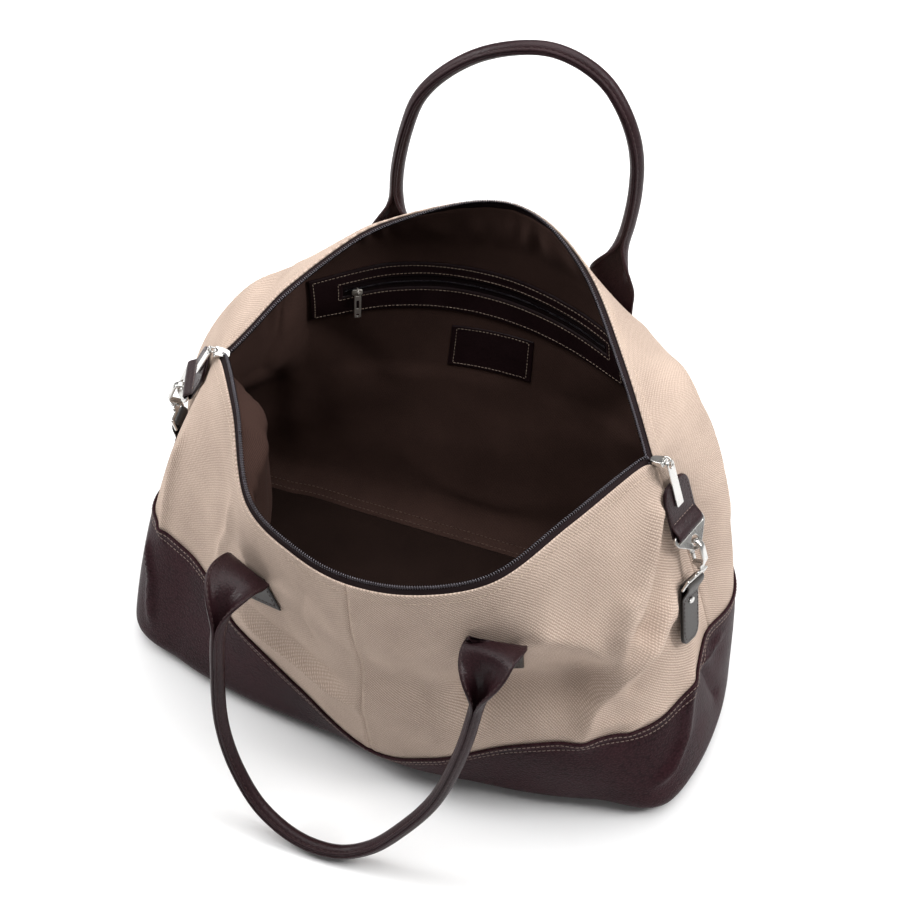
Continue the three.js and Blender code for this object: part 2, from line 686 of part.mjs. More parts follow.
function ringShape() {
  const { halfWidth, slotHalf, slotLow, holeY, holeR, apex } = RING;
  const top = BAR_HALF;
  const corner = 2.5;
  const shape = new THREE.Shape();
  shape.moveTo(-halfWidth + corner, top);
  shape.quadraticCurveTo(-halfWidth, top, -halfWidth, top - corner);
  shape.lineTo(-halfWidth + 0.5, slotLow - 1);
  shape.lineTo(-6.5, apex + 3);
  shape.quadraticCurveTo(0, apex - 1.5, 6.5, apex + 3);
  shape.lineTo(halfWidth - 0.5, slotLow - 1);
  shape.lineTo(halfWidth, top - corner);
  shape.quadraticCurveTo(halfWidth, top, halfWidth - corner, top);
  shape.closePath();
  const slot = new THREE.Path();
  slot.moveTo(-slotHalf, -top);
  slot.lineTo(slotHalf, -top);
  slot.lineTo(slotHalf, slotLow);
  slot.lineTo(-slotHalf, slotLow);
  slot.closePath();
  const hole = new THREE.Path();
  hole.absarc(0, holeY, holeR, 0, 2 * Math.PI, true);
  shape.holes.push(slot, hole);
  return shape;
}

function loopShape() {
  const { halfWidth, slotHalf, slotTop, top, bossHalf, bossTop } = LOOP;
  const shape = new THREE.Shape();
  shape.moveTo(-halfWidth, -BAR_HALF);
  shape.lineTo(halfWidth, -BAR_HALF);
  shape.lineTo(halfWidth, top - 2);
  shape.lineTo(halfWidth - 2, top);
  shape.lineTo(bossHalf, top);
  shape.lineTo(bossHalf - 1, bossTop);
  shape.lineTo(1 - bossHalf, bossTop);
  shape.lineTo(-bossHalf, top);
  shape.lineTo(2 - halfWidth, top);
  shape.lineTo(-halfWidth, top - 2);
  shape.closePath();
  const slot = new THREE.Path();
  slot.moveTo(-slotHalf, BAR_HALF);
  slot.lineTo(-slotHalf, slotTop);
  slot.lineTo(slotHalf, slotTop);
  slot.lineTo(slotHalf, BAR_HALF);
  slot.closePath();
  shape.holes.push(slot);
  return shape;
}

function plate(shape, thickness, curveSegments = 5) {
  const options = { depth: thickness, bevelEnabled: false, curveSegments };
  const geometry = new THREE.ExtrudeGeometry(shape, options);
  geometry.translate(0, 0, -thickness / 2);
  return geometry;
}

// The hook's side view, drawn with X toward the gate and Y up from the foot: a body, an arm on the far
// side, and a bow over the top that ends in the nose above the gate.
function hookShape(length) {
  const { arm, halfOpening, bodyHeight, noseDrop } = HOOK;
  const outer = halfOpening + arm;
  const bowY = length - halfOpening;
  const shape = new THREE.Shape();
  shape.moveTo(-2.4, 0);
  shape.lineTo(2.4, 0);
  shape.lineTo(2.4, 2.5);
  shape.lineTo(halfOpening + GATE.thickness, bodyHeight - 2);
  shape.lineTo(halfOpening + GATE.thickness, bodyHeight);
  shape.lineTo(-halfOpening, bodyHeight);
  shape.lineTo(-halfOpening, bowY);
  shape.absarc(0, bowY, halfOpening, Math.PI, 0, true);
  shape.lineTo(halfOpening, bowY - noseDrop);
  shape.lineTo(outer - 1, bowY - noseDrop);
  shape.lineTo(outer, bowY);
  shape.absarc(0, bowY, outer, 0, Math.PI, false);
  shape.lineTo(-outer, bodyHeight + 2);
  shape.lineTo(-2.4, 2.5);
  shape.closePath();
  return shape;
}

// Slider and puller: the origin is at the zip's end, Z away from the cloth, Y the way the zip faces.

function toSolid(geometry) {
  const index = geometry.index;
  const position = geometry.getAttribute('position');
  const count = index ? index.count : position.count;
  const vertices = new Map();
  const points = [];
  const faces = [];
  for (let k = 0; k < count; k += 1) {
    const v = index ? index.getX(k) : k;
    const p = [position.getX(v), position.getY(v), position.getZ(v)].map(Math.fround);
    const key = p.map((value) => value.toFixed(4)).join();
    if (!vertices.has(key)) {
      vertices.set(key, points.length / 3);
      points.push(...p);
    }
    faces.push(vertices.get(key));
  }
  const mesh = new wasm.Mesh({
    numProp: 3,
    vertProperties: new Float32Array(points),
    triVerts: new Uint32Array(faces),
  });
  return new wasm.Manifold(mesh);
}

function joined(first, second) {
  const mesh = toSolid(first).add(toSolid(second)).getMesh();
  const geometry = new THREE.BufferGeometry();
  const points = new Float32Array(mesh.numVert * 3);
  for (let v = 0; v < mesh.numVert; v += 1) {
    for (let k = 0; k < 3; k += 1) {
      points[3 * v + k] = mesh.vertProperties[mesh.numProp * v + k];
    }
  }
  geometry.setAttribute('position', new THREE.BufferAttribute(points, 3));
  geometry.setIndex(Array.from(mesh.triVerts));
  geometry.computeVertexNormals();
  return geometry;
}

function sliderGeometry(s) {
  const body = new THREE.BoxGeometry(2 * s.bodyHalfWidth, s.bodyHigh - s.bodyLow, s.bodyFront - s.bodyBack);
  body.translate(0, (s.bodyHigh + s.bodyLow) / 2, (s.bodyFront + s.bodyBack) / 2);
  const ring = new THREE.Shape();
  ring.absarc(0, 0, s.ringOut, 0, 2 * Math.PI, false);
  const eye = new THREE.Path();
  eye.absarc(0, 0, s.ringIn, 0, 2 * Math.PI, true);
  ring.holes.push(eye);
  const eyelet = plate(ring, 2 * s.ringHalfWidth, 9);
  eyelet.rotateY(-Math.PI / 2);
  eyelet.translate(0, s.ringUp, s.ringN);
  return joined(body, eyelet);
}

// Where the puller hangs on the slider's eyelet.
function pullerPivot(s) {
  const middle = (s.ringOut + s.ringIn) / 2;
  return [0, s.ringUp + middle * Math.sin(PULLER_HANG), s.ringN + middle * Math.cos(PULLER_HANG)];
}

function pullerGeometry(s) {
  const shape = new THREE.Shape();
  const half = s.pullerHalfWidth;
  shape.absarc(0, 0, half, 0, Math.PI, false);
  shape.lineTo(-half, -s.pullerLength + 1);
  shape.lineTo(1 - half, -s.pullerLength);
  shape.lineTo(half - 1, -s.pullerLength);
  shape.lineTo(half, -s.pullerLength + 1);
  shape.closePath();
  const hole = new THREE.Path();
  hole.absarc(0, 0, s.hole, 0, 2 * Math.PI, true);
  shape.holes.push(hole);
  if (s.tailHole > 0) {
    const tail = new THREE.Path();
    tail.absarc(0, half - s.pullerLength, s.tailHole, 0, 2 * Math.PI, true);
    shape.holes.push(tail);
  }
  return plate(shape, s.pullerThickness, 7);
}

function addSlider(names, s, frame) {
  addMesh(names.slider, sliderGeometry(s), STEEL, frame);
  addMesh(names.puller, pullerGeometry(s), STEEL, moved(frame, ...pullerPivot(s)));
}

// The mouth slider sits on the rim at the end of the zip, square to the tab below it.
function sliderFrame(tipU, tabFrame) {
  const inverse = tabFrame.clone().invert();
  const tip = wall(tipU, 1).applyMatrix4(inverse);
  let rimTop = -Infinity;
  for (let u = tipU - 1; u < tipU + 1; u += 0.02) {
    for (const layer of [CANVAS.outer, LINING.inner]) {
      const p = wall(u, 1).addScaledVector(outward(wall, u, 1), layer).applyMatrix4(inverse);
      const inBody = p.z > MAIN_SLIDER.bodyBack - 0.5 && p.z < MAIN_SLIDER.bodyFront;
      if (inBody && Math.abs(p.x - tip.x) < MAIN_SLIDER.bodyHalfWidth + 0.5) {
        rimTop = Math.max(rimTop, p.y);
      }
    }
  }
  return moved(tabFrame, tip.x, rimTop + 0.35 - MAIN_SLIDER.bodyLow, 0);
}

function buildEnd(end) {
  const at = ([u, q]) => wallSpot(u, q);
  const lifted = (frame, strapRect, metalRect) => {
    const strapHeight = wallAbove(frame, end.tipU, ...strapRect);
    const metalHeight = wallAbove(frame, end.tipU, ...metalRect) - METAL_RISE;
    return moved(frame, 0, 0, Math.max(strapHeight, metalHeight) + 0.5);
  };
  const ringBar = at(end.ringBar);
  const tabTop = at(end.tabTop);
  const loopBar = at(end.loopBar);
  const chapeTip = at(end.chapeTip);

  const facing = (...places) => {
    const away = new THREE.Vector3();
    for (const [u, q] of places) {
      away.add(outward(wall, u - FACING_U, q)).add(outward(wall, u + FACING_U, q));
    }
    return away;
  };
  const tabFlat = strapFrame(ringBar.p, tabTop.p, facing(end.ringBar, end.tabTop));
  const tabRect = [TAB_HALF_WIDTH + 1, -5, TAB_LENGTH];
  const tabFrame = lifted(tabFlat, tabRect, [RING.halfWidth + 0.5, -8, 3]);
  const tabOutline = roundedEnd(TAB_LENGTH, TAB_HALF_WIDTH, 12, 0.45);
  addMesh(`end_tab_${end.side}`, foldedStrap(TAB_LENGTH, tabOutline, 1), LEATHER_BROWN, tabFrame);
  const ringFrame = moved(tabFrame, 0, 0, BAR_Z, RING_TILT);
  addMesh(`triangle_ring_${end.side}`, plate(ringShape(), RING_THICKNESS), STEEL, ringFrame);

  const above = loopBar.p.clone().multiplyScalar(2).sub(chapeTip.p);
  const chapeFlat = strapFrame(loopBar.p, above, facing(end.loopBar, end.chapeTip));
  const chapeRect = [CHAPE_HALF_WIDTH, 2.5 - CHAPE_LENGTH, 5];
  const chapeFrame = lifted(chapeFlat, chapeRect, [LOOP.halfWidth + 0.5, -3, 3]);
  const chapeOutline = roundedEnd(CHAPE_LENGTH, CHAPE_HALF_WIDTH, 10, 0.5);
  addMesh(`chape_${end.side}`, foldedStrap(CHAPE_LENGTH, chapeOutline, -1), LEATHER_BROWN, chapeFrame);
  const loopFrame = moved(chapeFrame, 0, 0, BAR_Z, LOOP_TILT);
  addMesh(`hook_loop_${end.side}`, plate(loopShape(), LOOP_THICKNESS), STEEL, loopFrame);

  const rivetFrame = moved(chapeFrame, 0, -RIVET.below, STRAP_FACE + 0.3);
  addMesh(`rivet_${end.side}`, rivetGeometry(), STEEL, rivetFrame);

  const bossTop = new THREE.Vector3(0, LOOP.bossTop + HOOK.bossGap, 0).applyMatrix4(loopFrame);
  const ringHole = new THREE.Vector3(0, RING.holeY, 0).applyMatrix4(ringFrame);
  const away = new THREE.Vector3().setFromMatrixColumn(tabFrame, 2);
  const hookFrame = strapFrame(bossTop, ringHole, away);
  const length = bossTop.distanceTo(ringHole) - HOOK.arm / 2;
  const hook = plate(hookShape(length), HOOK.width);
  hook.rotateY(Math.PI / 2);
  addMesh(`hook_${end.side}`, hook, STEEL, hookFrame);

  const gateLength = length - HOOK.halfOpening - HOOK.noseDrop - HOOK.bodyHeight - 2 * GATE.gap;
  const gate = new THREE.BoxGeometry(GATE.width, gateLength, GATE.thickness);
  gate.translate(0, gateLength / 2, 0);
  const gateZ = -(HOOK.halfOpening + GATE.thickness / 2);
  addMesh(`gate_${end.side}`, gate, STEEL, moved(hookFrame, 0, HOOK.bodyHeight + GATE.gap, gateZ));

  const names = { slider: `slider_${end.side}`, puller: `puller_${end.side}` };
  addSlider(names, MAIN_SLIDER, sliderFrame(end.tipU, tabFrame));
}

function rivetGeometry() {
  const profile = [];
  const steps = 4;
  profile.push(new THREE.Vector2(0, 0));
  for (let k = 0; k <= steps; k += 1) {
    const turn = Math.PI / 2 * k / steps;
    profile.push(new THREE.Vector2(Math.cos(turn), Math.sin(turn)));
  }
  profile[profile.length - 1].x = 0;
  const geometry = new THREE.LatheGeometry(profile, 12);
  geometry.rotateX(Math.PI / 2);
  geometry.scale(RIVET.halfLong, RIVET.halfShort, RIVET.height);
  return geometry;
}

// Inside the bag.

function pocketQ(u, share) {
  const along = (u - POCKET.uFrom) / (POCKET.uTo - POCKET.uFrom);
  const low = THREE.MathUtils.lerp(POCKET_ENDS.lowFrom, POCKET_ENDS.lowTo, along);
  const high = THREE.MathUtils.lerp(POCKET_ENDS.highFrom, POCKET_ENDS.highTo, along);
  return THREE.MathUtils.lerp(low, high, share);
}

function pocketStrip(cellFrom, cellTo, shares, endInset = 0) {
  const columns = [];
  for (let i = cellFrom; i <= cellTo; i += 1) {
    const cell = i === cellFrom ? i + endInset : i;
    const u = THREE.MathUtils.lerp(POCKET.uFrom, POCKET.uTo, cell / POCKET.cells);
    columns.push(shares.map((share) => facetSpot(u, pocketQ(u, share))));
  }
  return columns;
}

function buildPocket() {
  const [slotFrom, slotTo] = POCKET.slotCells;
  const [slotLow, slotHigh] = POCKET.slotShares;
  const [coilLow, coilHigh] = POCKET_COIL_SHARES;
  const [tapeLow, tapeHigh] = [slotLow - POCKET_TAPE_LAP, slotHigh + POCKET_TAPE_LAP];
  const isSlot = (i, j) => j === 2 && i >= slotFrom && i < slotTo;
  const frame = pocketStrip(0, POCKET.cells, [0, tapeLow, slotLow, slotHigh, tapeHigh, 1]);
  addMesh('pocket_frame', sheet(frame, POCKET_FRAME, { open: isSlot }), LEATHER_BROWN);
  const tape = pocketStrip(slotFrom, slotTo, [tapeLow, slotLow, coilLow, coilHigh, slotHigh, tapeHigh]);
  addMesh('pocket_zip_tape', sheet(tape, POCKET_TAPE), ZIP_DARK);
  const coil = pocketStrip(slotFrom, slotTo - 1, POCKET_COIL_SHARES, 0.08);
  addMesh('pocket_zip_coil', sheet(coil, POCKET_COIL), COIL_DARK);

  const middleShare = (POCKET_COIL_SHARES[0] + POCKET_COIL_SHARES[1]) / 2;
  const seat = facetSpot(POCKET_SLIDER_U, pocketQ(POCKET_SLIDER_U, middleShare));
  const above = facetSpot(POCKET_SLIDER_U, pocketQ(POCKET_SLIDER_U, 1));
  const flat = strapFrame(seat.p, above.p, seat.n.clone().negate());
  const frameFace = -POCKET_FRAME.inner;
  const names = { slider: 'pocket_slider', puller: 'pocket_puller' };
  addSlider(names, POCKET_SLIDER, moved(flat, 0, 0, frameFace + 1.5));
  addMesh('label_patch', wallPatch(LABEL_PLACE, LABEL), LEATHER_BROWN);
}

buildBody();
buildMouthZip();
buildHandles();
for (const end of ENDS) {
  buildEnd(end);
}
buildPocket();

export default bag;
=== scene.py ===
"""Looks of the open canvas and leather weekender bag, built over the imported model."""

import math

import bmesh
import bpy
import numpy as np
from mathutils import Matrix
from mathutils.geometry import tessellate_polygon


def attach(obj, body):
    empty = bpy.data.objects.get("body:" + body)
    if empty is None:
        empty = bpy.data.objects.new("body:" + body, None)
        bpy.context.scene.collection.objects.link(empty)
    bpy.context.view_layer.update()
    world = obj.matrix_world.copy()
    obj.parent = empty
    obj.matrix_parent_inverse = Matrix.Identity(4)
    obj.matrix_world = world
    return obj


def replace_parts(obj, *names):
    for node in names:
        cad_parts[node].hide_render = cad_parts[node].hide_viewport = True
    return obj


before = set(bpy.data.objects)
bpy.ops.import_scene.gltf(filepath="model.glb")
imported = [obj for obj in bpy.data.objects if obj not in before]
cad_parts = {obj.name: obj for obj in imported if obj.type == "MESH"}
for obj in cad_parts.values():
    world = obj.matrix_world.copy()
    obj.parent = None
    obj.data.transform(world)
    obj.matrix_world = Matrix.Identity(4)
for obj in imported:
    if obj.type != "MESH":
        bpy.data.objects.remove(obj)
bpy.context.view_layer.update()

MM = 0.001
BODY = "bag"

# Camera at the photograph's place, in millimetres and degrees.
CAMERA_AT = (372.83, -925.65, 1399.31)
CAMERA_TURN = 21.2
CAMERA_DOWN = 49.0
CAMERA_LENS, CAMERA_SENSOR = 72.0, 36.0

camera_data = bpy.data.cameras.new("camera")
camera_data.lens = CAMERA_LENS
camera_data.sensor_width = CAMERA_SENSOR
camera_data.sensor_fit = "HORIZONTAL"
camera = bpy.data.objects.new("camera", camera_data)
camera.location = [value * MM for value in CAMERA_AT]
camera.rotation_euler = (math.radians(90 - CAMERA_DOWN), 0, math.radians(CAMERA_TURN))
bpy.context.scene.collection.objects.link(camera)
bpy.context.scene.camera = camera

# Frames of the straps and of the metal, found again from the model's own nodes. In a strap's frame X runs
# across it, Y up along it and Z away from the wall; all lengths are in millimetres.
STRAP = 1.7
BAR_HALF = 1.9
FOLD_RADIUS = 3.8
BAR_Z = FOLD_RADIUS + STRAP / 2
STRAP_FACE = 2 * STRAP + 0.3
RING_TILT = -16.0
LOOP_TILT = 32.0
TAB_LENGTH, TAB_HALF_WIDTH = 46.0, 17.0
CHAPE_LENGTH, CHAPE_HALF_WIDTH = 52.0, 15.5
SIDES = {"left": np.array([-1.0, 0, 0]), "right": np.array([1.0, 0, 0])}


def unit(v):
    """Vectors brought to length one."""
    return v / np.maximum(np.linalg.norm(v, axis=-1, keepdims=True), 1e-9)


def smooth(x, low, high):
    """A smooth step from 0 at low to 1 at high."""
    t = np.clip((x - low) / (high - low), 0, 1)
    return t * t * (3 - 2 * t)


def ridge(x, at, width):
    """A soft ridge of height 1 across a line."""
    return np.exp(-(((x - at) / width) ** 2))


def hermite(f, p0, m0, p1, m1):
    """A cubic curve from p0 to p1 with slopes m0 and m1, at shares f."""
    start = (2 * f**3 - 3 * f**2 + 1) * p0 + (f**3 - 2 * f**2 + f) * m0
    return start + (3 * f**2 - 2 * f**3) * p1 + (f**3 - f**2) * m1


class Place:
    """A right-handed frame with its origin."""

    def __init__(self, x, y, z, origin):
        self.axes = np.stack([x, y, z])
        self.origin = np.asarray(origin, float)

    def at(self, *points):
        return self.origin + np.asarray(points, float).reshape(-1, 3) @ self.axes

    def local(self, points):
        return (points - self.origin) @ self.axes.T

    def moved(self, x, y, z, tilt=0.0):
        """The frame after a shift along its own axes and then a turn about its X axis."""
        c, s = math.cos(math.radians(tilt)), math.sin(math.radians(tilt))
        ax, ay, az = self.axes
        return Place(ax, ay * c + az * s, az * c - ay * s, self.at((x, y, z))[0])


def node_points(name):
    """The different corners of a model node."""
    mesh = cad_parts[name].data
    flat = np.empty(len(mesh.vertices) * 3)
    mesh.vertices.foreach_get("co", flat)
    return np.unique((flat.reshape(-1, 3) / MM).round(3), axis=0)


def plate_place(name, out, up, wide):
    """The frame of a flat node and its corners' reach down and up; wide tells if X is its long way."""
    points = node_points(name)
    centre = points.mean(axis=0)
    axes = np.linalg.eigh(np.cov((points - centre).T))[1].T
    z = axes[0] * np.sign(axes[0] @ out)
    y = axes[1] if wide else axes[2]
    y = y * np.sign(y @ up)
    place = Place(np.cross(y, z), y, z, centre)
    local = place.local(points)
    low, high = local.min(axis=0), local.max(axis=0)
    middle = (low + high) / 2
    return place.moved(middle[0], 0, middle[2]), low[1], high[1]


UPWARD = np.array([0.0, 0, 1])
RINGS, TABS, LOOPS, CHAPES = {}, {}, {}, {}
for side, out in SIDES.items():
    place, low, high = plate_place("triangle_ring_" + side, out, UPWARD, True)
    RINGS[side] = place.moved(0, high - BAR_HALF, 0)
    TABS[side] = RINGS[side].moved(0, 0, 0, -RING_TILT).moved(0, 0, -BAR_Z)
    place, low, high = plate_place("hook_loop_" + side, out, UPWARD, True)
    LOOPS[side] = place.moved(0, low + BAR_HALF, 0)
    CHAPES[side] = LOOPS[side].moved(0, 0, 0, -LOOP_TILT).moved(0, 0, -BAR_Z)

# Rectangles of the wall that lie under a strap: frame, half width, from y and to y.
PAST_FOLD = 5.0
PRESSED = [(place, TAB_HALF_WIDTH, -PAST_FOLD, TAB_LENGTH) for place in TABS.values()]
PRESSED += [(place, CHAPE_HALF_WIDTH, -CHAPE_LENGTH, PAST_FOLD) for place in CHAPES.values()]
PRESS_GAP, PRESS_REACH = 0.2, 25.0
PRESS_FROM, PRESS_TO = 1.0, 7.0

# The wall surface of the model, in millimetres: one row per station round the bag, with base x and y,
# rim x, y and z, the way the belly faces in degrees, its depth, the share of height where it is deepest,
# and the height of the leather.
STATIONS = [
    (-273, 0, -202, 0, 289, 180, 10, 0.5, 132),
    (-262, -108, -190, -12, 296, 235, 22, 0.66, 149),
    (-204, -135, -157, -60, 298, 262, 8, 0.55, 143),
    (-138, -148, -114, -128, 272, 268, 2, 0.4, 118),
    (-66, -152, -59, -156, 265, 270, 4, 0.3, 75),
    (8, -147, -10, -165, 262, 270, 21, 0.17, 35),
    (66, -150, 44, -166, 275, 270, 20, 0.21, 60),
    (129, -149, 102, -144, 290, 272, 12, 0.42, 91),
    (200, -131, 146, -80, 309, 278, 32, 0.45, 113),
    (266, -110, 180, -10, 314, 288, 31, 0.77, 115),
    (281, -4, 190, 0, 310, 0, 10, 0.5, 128),
    (247, 91, 184, 10, 312, 72, 71, 0.95, 106),
    (192, 118, 140, 75, 334, 82, 65, 0.86, 110),
    (121, 122, 76, 158, 352, 88, 42, 0.72, 84),
    (0, 121, -5, 195, 365, 90, 30, 0.6, 38),
    (-118, 120, -104, 161, 338, 92, 40, 0.78, 84),
    (-193, 118, -165, 80, 311, 98, 58, 0.82, 118),
    (-252, 100, -196, 14, 291, 108, 76, 0.95, 138),
]
TURNS = len(STATIONS)
U_LEFT, U_FRONT, U_RIGHT, U_BACK = 0, 5, 10, 14
BOTTOM_ROUND = 22.0
WALL_LOW = 2.0
WALL_FOOT = WALL_LOW + BOTTOM_ROUND
# Columns of the table once the belly's facing has become two of them.
BASE_XY, RIM_XY, RIM, FACE = slice(0, 2), slice(2, 4), slice(2, 5), slice(5, 7)
RIM_Z, BELLY, BELLY_AT, LEATHER_Z = 4, 7, 8, 9

# Folds of the cloth: from u, q to u, q, then width and height in millimetres.
FOLDS = [
    (9.3, 0.9, 8.78, 0.71, 15, 5),
    (8.78, 0.71, 8.52, 0.5, 15, 6),
    (9.25, 0.62, 8.95, 0.56, 13, 5),
    (8.95, 0.56, 8.03, 0.33, 14, 7),
    (7.5, 0.6, 8.0, 0.42, 36, -8),
    (3.0, 0.41, 4.9, 0.33, 12, 3),
    (3.4, 0.62, 4.4, 0.5, 40, -4),
    (12.2, 0.62, 13.2, 0.36, 15, 5),
    (16.0, 0.6, 15.1, 0.36, 15, 5),
    (15.3, 0.9, 16.0, 0.88, 30, 14),
    (7.6, 0.73, 8.4, 0.65, 18, 6),
    (6.9, 0.47, 8.15, 0.5, 28, -21),
    (5.4, 0.56, 6.6, 0.52, 36, -11),
]

# Sharp creases seen in the photograph, as lines of u, q, then width and height in millimetres.
CREASES = [
    ([(9.55, 0.95), (9.15, 0.9), (8.96, 0.81), (8.82, 0.76), (8.69, 0.74), (8.57, 0.67),
      (8.49, 0.5)], 7, 9.0),
    ([(9.29, 0.675), (9.13, 0.64), (8.96, 0.605), (8.77, 0.57), (8.56, 0.53), (8.38, 0.46), (8.18, 0.4),
      (8.04, 0.33)], 7, 11.0),
    ([(8.2, 0.36), (8.56, 0.35), (8.78, 0.335)], 4, 3.2),
    ([(8.5, 0.31), (8.78, 0.338), (9.1, 0.335)], 4, 3.0),
    ([(9.49, 0.38), (9.33, 0.295), (9.23, 0.185), (9.06, 0.12), (8.8, 0.07)], 5, 6.0),
    ([(10.18, 0.275), (9.83, 0.295), (9.6, 0.335)], 4, 3.6),
    ([(9.64, 0.32), (9.9, 0.065)], 4, -4.0),
    ([(2.61, 0.9), (2.64, 0.755), (2.51, 0.645), (2.45, 0.5)], 6, 5.0),
    ([(2.95, 0.45), (3.86, 0.395), (4.76, 0.33)], 4, 5.0),
    ([(2.9, 0.52), (3.86, 0.455), (4.76, 0.39)], 9, -4.0),
    ([(7.45, 0.765), (7.85, 0.7), (8.21, 0.65), (8.44, 0.57)], 10, 7.0),
    ([(1.05, 0.8), (1.2, 0.555), (1.3, 0.42)], 5, 5.0),
    ([(1.02, 0.36), (1.29, 0.245), (1.42, 0.05)], 4, 4.6),
    ([(11.2, 0.93), (10.75, 0.8), (10.6, 0.6)], 7, 3.0),
    ([(6.2, 0.9), (5.9, 0.6), (6.1, 0.35)], 12, -2.5),
    ([(4.2, 0.85), (4.0, 0.65), (4.3, 0.52)], 10, -2.5),
    ([(9.42, 0.9), (9.2, 0.74), (8.95, 0.66), (8.72, 0.62)], 12, -10.0),
    ([(9.4, 0.58), (8.95, 0.5), (8.6, 0.43)], 12, -8.0),
    ([(12.4, 0.9), (12.0, 0.6), (12.3, 0.35)], 8, 3.0),
    ([(16.4, 0.9), (16.9, 0.6), (16.6, 0.42)], 8, 3.0),
]
CREASE_SHARP = 1.5
CREASE_FADE = (-0.08, 0.2)
MM_PER_U, MM_PER_Q = 62.0, 270.0


def curve_table():
    """The station table with the belly's facing as two columns."""
    rows = np.array(STATIONS, float)
    face = np.radians(rows[:, 5])
    return np.column_stack([rows[:, :5], np.cos(face), np.sin(face), rows[:, 6:]])


CURVES = curve_table()
CURVES_NEXT = np.roll(CURVES, -1, axis=0)
STEP_BASE = np.linalg.norm(CURVES_NEXT[:, BASE_XY] - CURVES[:, BASE_XY], axis=1)
STEP_RIM = np.linalg.norm(CURVES_NEXT[:, RIM] - CURVES[:, RIM], axis=1)
STEPS = (STEP_BASE + STEP_RIM) / 2


def station_at(u):
    """The station columns at any places u round the bag."""
    turn = np.mod(u, TURNS)
    here = np.floor(turn).astype(int) % TURNS
    f = (turn - np.floor(turn))[..., None]
    before, after, last = ((here + step) % TURNS for step in (-1, 1, 2))
    h_before, h, h_after = (STEPS[k][..., None] for k in (before, here, after))
    p0, p1 = CURVES[here], CURVES[after]
    slope = (p1 - p0) / h
    slope_before = (p0 - CURVES[before]) / h_before
    slope_after = (CURVES[last] - p1) / h_after
    m0 = (slope_before * h + slope * h_before) / (h + h_before)
    m1 = (slope * h_after + slope_after * h) / (h + h_after)
    return hermite(f, p0, h * m0, p1, h * m1)


def plain_wall(u, q):
    """The wall without folds: q is -1 at the bottom, 0 above its round edge and 1 at the rim."""
    s = station_at(u)
    turn = np.clip(q + 1, 0, 1) * np.pi / 2
    inset = BOTTOM_ROUND * (1 - np.sin(turn))
    low_z = WALL_LOW + BOTTOM_ROUND * (1 - np.cos(turn))
    z = np.where(q < 0, low_z, WALL_FOOT + (s[..., RIM_Z] - WALL_FOOT) * q)
    share = (z - WALL_LOW) / (s[..., RIM_Z] - WALL_LOW)
    peak = s[..., BELLY_AT]
    side = np.where(share < peak, share / peak, (1 - share) / (1 - peak))
    rise = np.clip(side, 0, 1)
    face = s[..., FACE]
    push = (s[..., BELLY] * rise * (2 - rise) - inset) / np.linalg.norm(face, axis=-1)
    xy = s[..., BASE_XY] + (s[..., RIM_XY] - s[..., BASE_XY]) * share[..., None] + face * push[..., None]
    return np.concatenate([xy, z[..., None]], axis=-1)


def normals_of(surface, u, q):
    """Outward unit normals of a surface function by central differences."""
    step = 1e-3
    high = np.minimum(q + step, 1)
    low = np.maximum(q - step, -1)
    along_u = surface(u + step, q) - surface(u - step, q)
    along_q = surface(u, high) - surface(u, low)
    return unit(np.cross(along_u, along_q))


def to_line(u, q, start, end):
    """The share along a line on the wall that is nearest to u, q, and its distance in millimetres."""
    way = (np.array(end) - start) * (MM_PER_U, MM_PER_Q)
    x = (np.mod(u - start[0] + TURNS / 2, TURNS) - TURNS / 2) * MM_PER_U
    y = (q - start[1]) * MM_PER_Q
    along = np.clip((x * way[0] + y * way[1]) / (way @ way), 0, 1)
    return along, np.hypot(x - along * way[0], y - along * way[1])


def fold_height(u, q):
    """The summed height of soft ridges along straight lines on the wall."""
    height = np.zeros(np.broadcast(u, q).shape)
    for from_u, from_q, to_u, to_q, width, rise in FOLDS:
        away = to_line(u, q, (from_u, from_q), (to_u, to_q))[1]
        height = height + rise * ridge(away, 0, width)
    return height


def crease_height(u, q):
    """The summed height of sharp ridges along bent lines on the wall, fading at both ends."""
    height = np.zeros(np.broadcast(u, q).shape)
    for line, width, rise in CREASES:
        nearest = np.full(height.shape, np.inf)
        place = np.zeros(height.shape)
        for k, (start, end) in enumerate(zip(line, line[1:])):
            along, away = to_line(u, q, start, end)
            closer = away < nearest
            nearest = np.where(closer, away, nearest)
            place = np.where(closer, (k + along) / (len(line) - 1), place)
        fade = smooth(np.minimum(place, 1 - place), *CREASE_FADE)
        height = height + rise * fade * np.exp(-((nearest / width) ** CREASE_SHARP))
    return height


def leather_q(u, below=0.0):
    """q at the top of the leather, or some millimetres below it."""
    s = station_at(u)
    return (s[..., LEATHER_Z] - below - WALL_FOOT) / (s[..., RIM_Z] - WALL_FOOT)


def press(points, thickness):
    """Wall points moved in under the straps, so that cloth of a thickness stays behind them."""
    for place, half_width, y_from, y_to in PRESSED:
        x, y, z = np.moveaxis(place.local(points), -1, 0)
        inside = 1 - smooth(np.abs(x), half_width + PRESS_FROM, half_width + PRESS_TO)
        inside = inside * smooth(y, y_from - PRESS_TO, y_from - PRESS_FROM)
        inside = inside * (1 - smooth(y, y_to + PRESS_FROM, y_to + PRESS_TO))
        over = np.clip(z + PRESS_GAP + thickness, 0, None) * (np.abs(z) < PRESS_REACH)
        points = points - place.axes[2] * (over * inside)[..., None]
    return points


LEATHER_IN, LEATHER_OUT = 0.3, 2.0
LEATHER_DEPTH, CANVAS_DEPTH = LEATHER_OUT + 0.8, 1.0


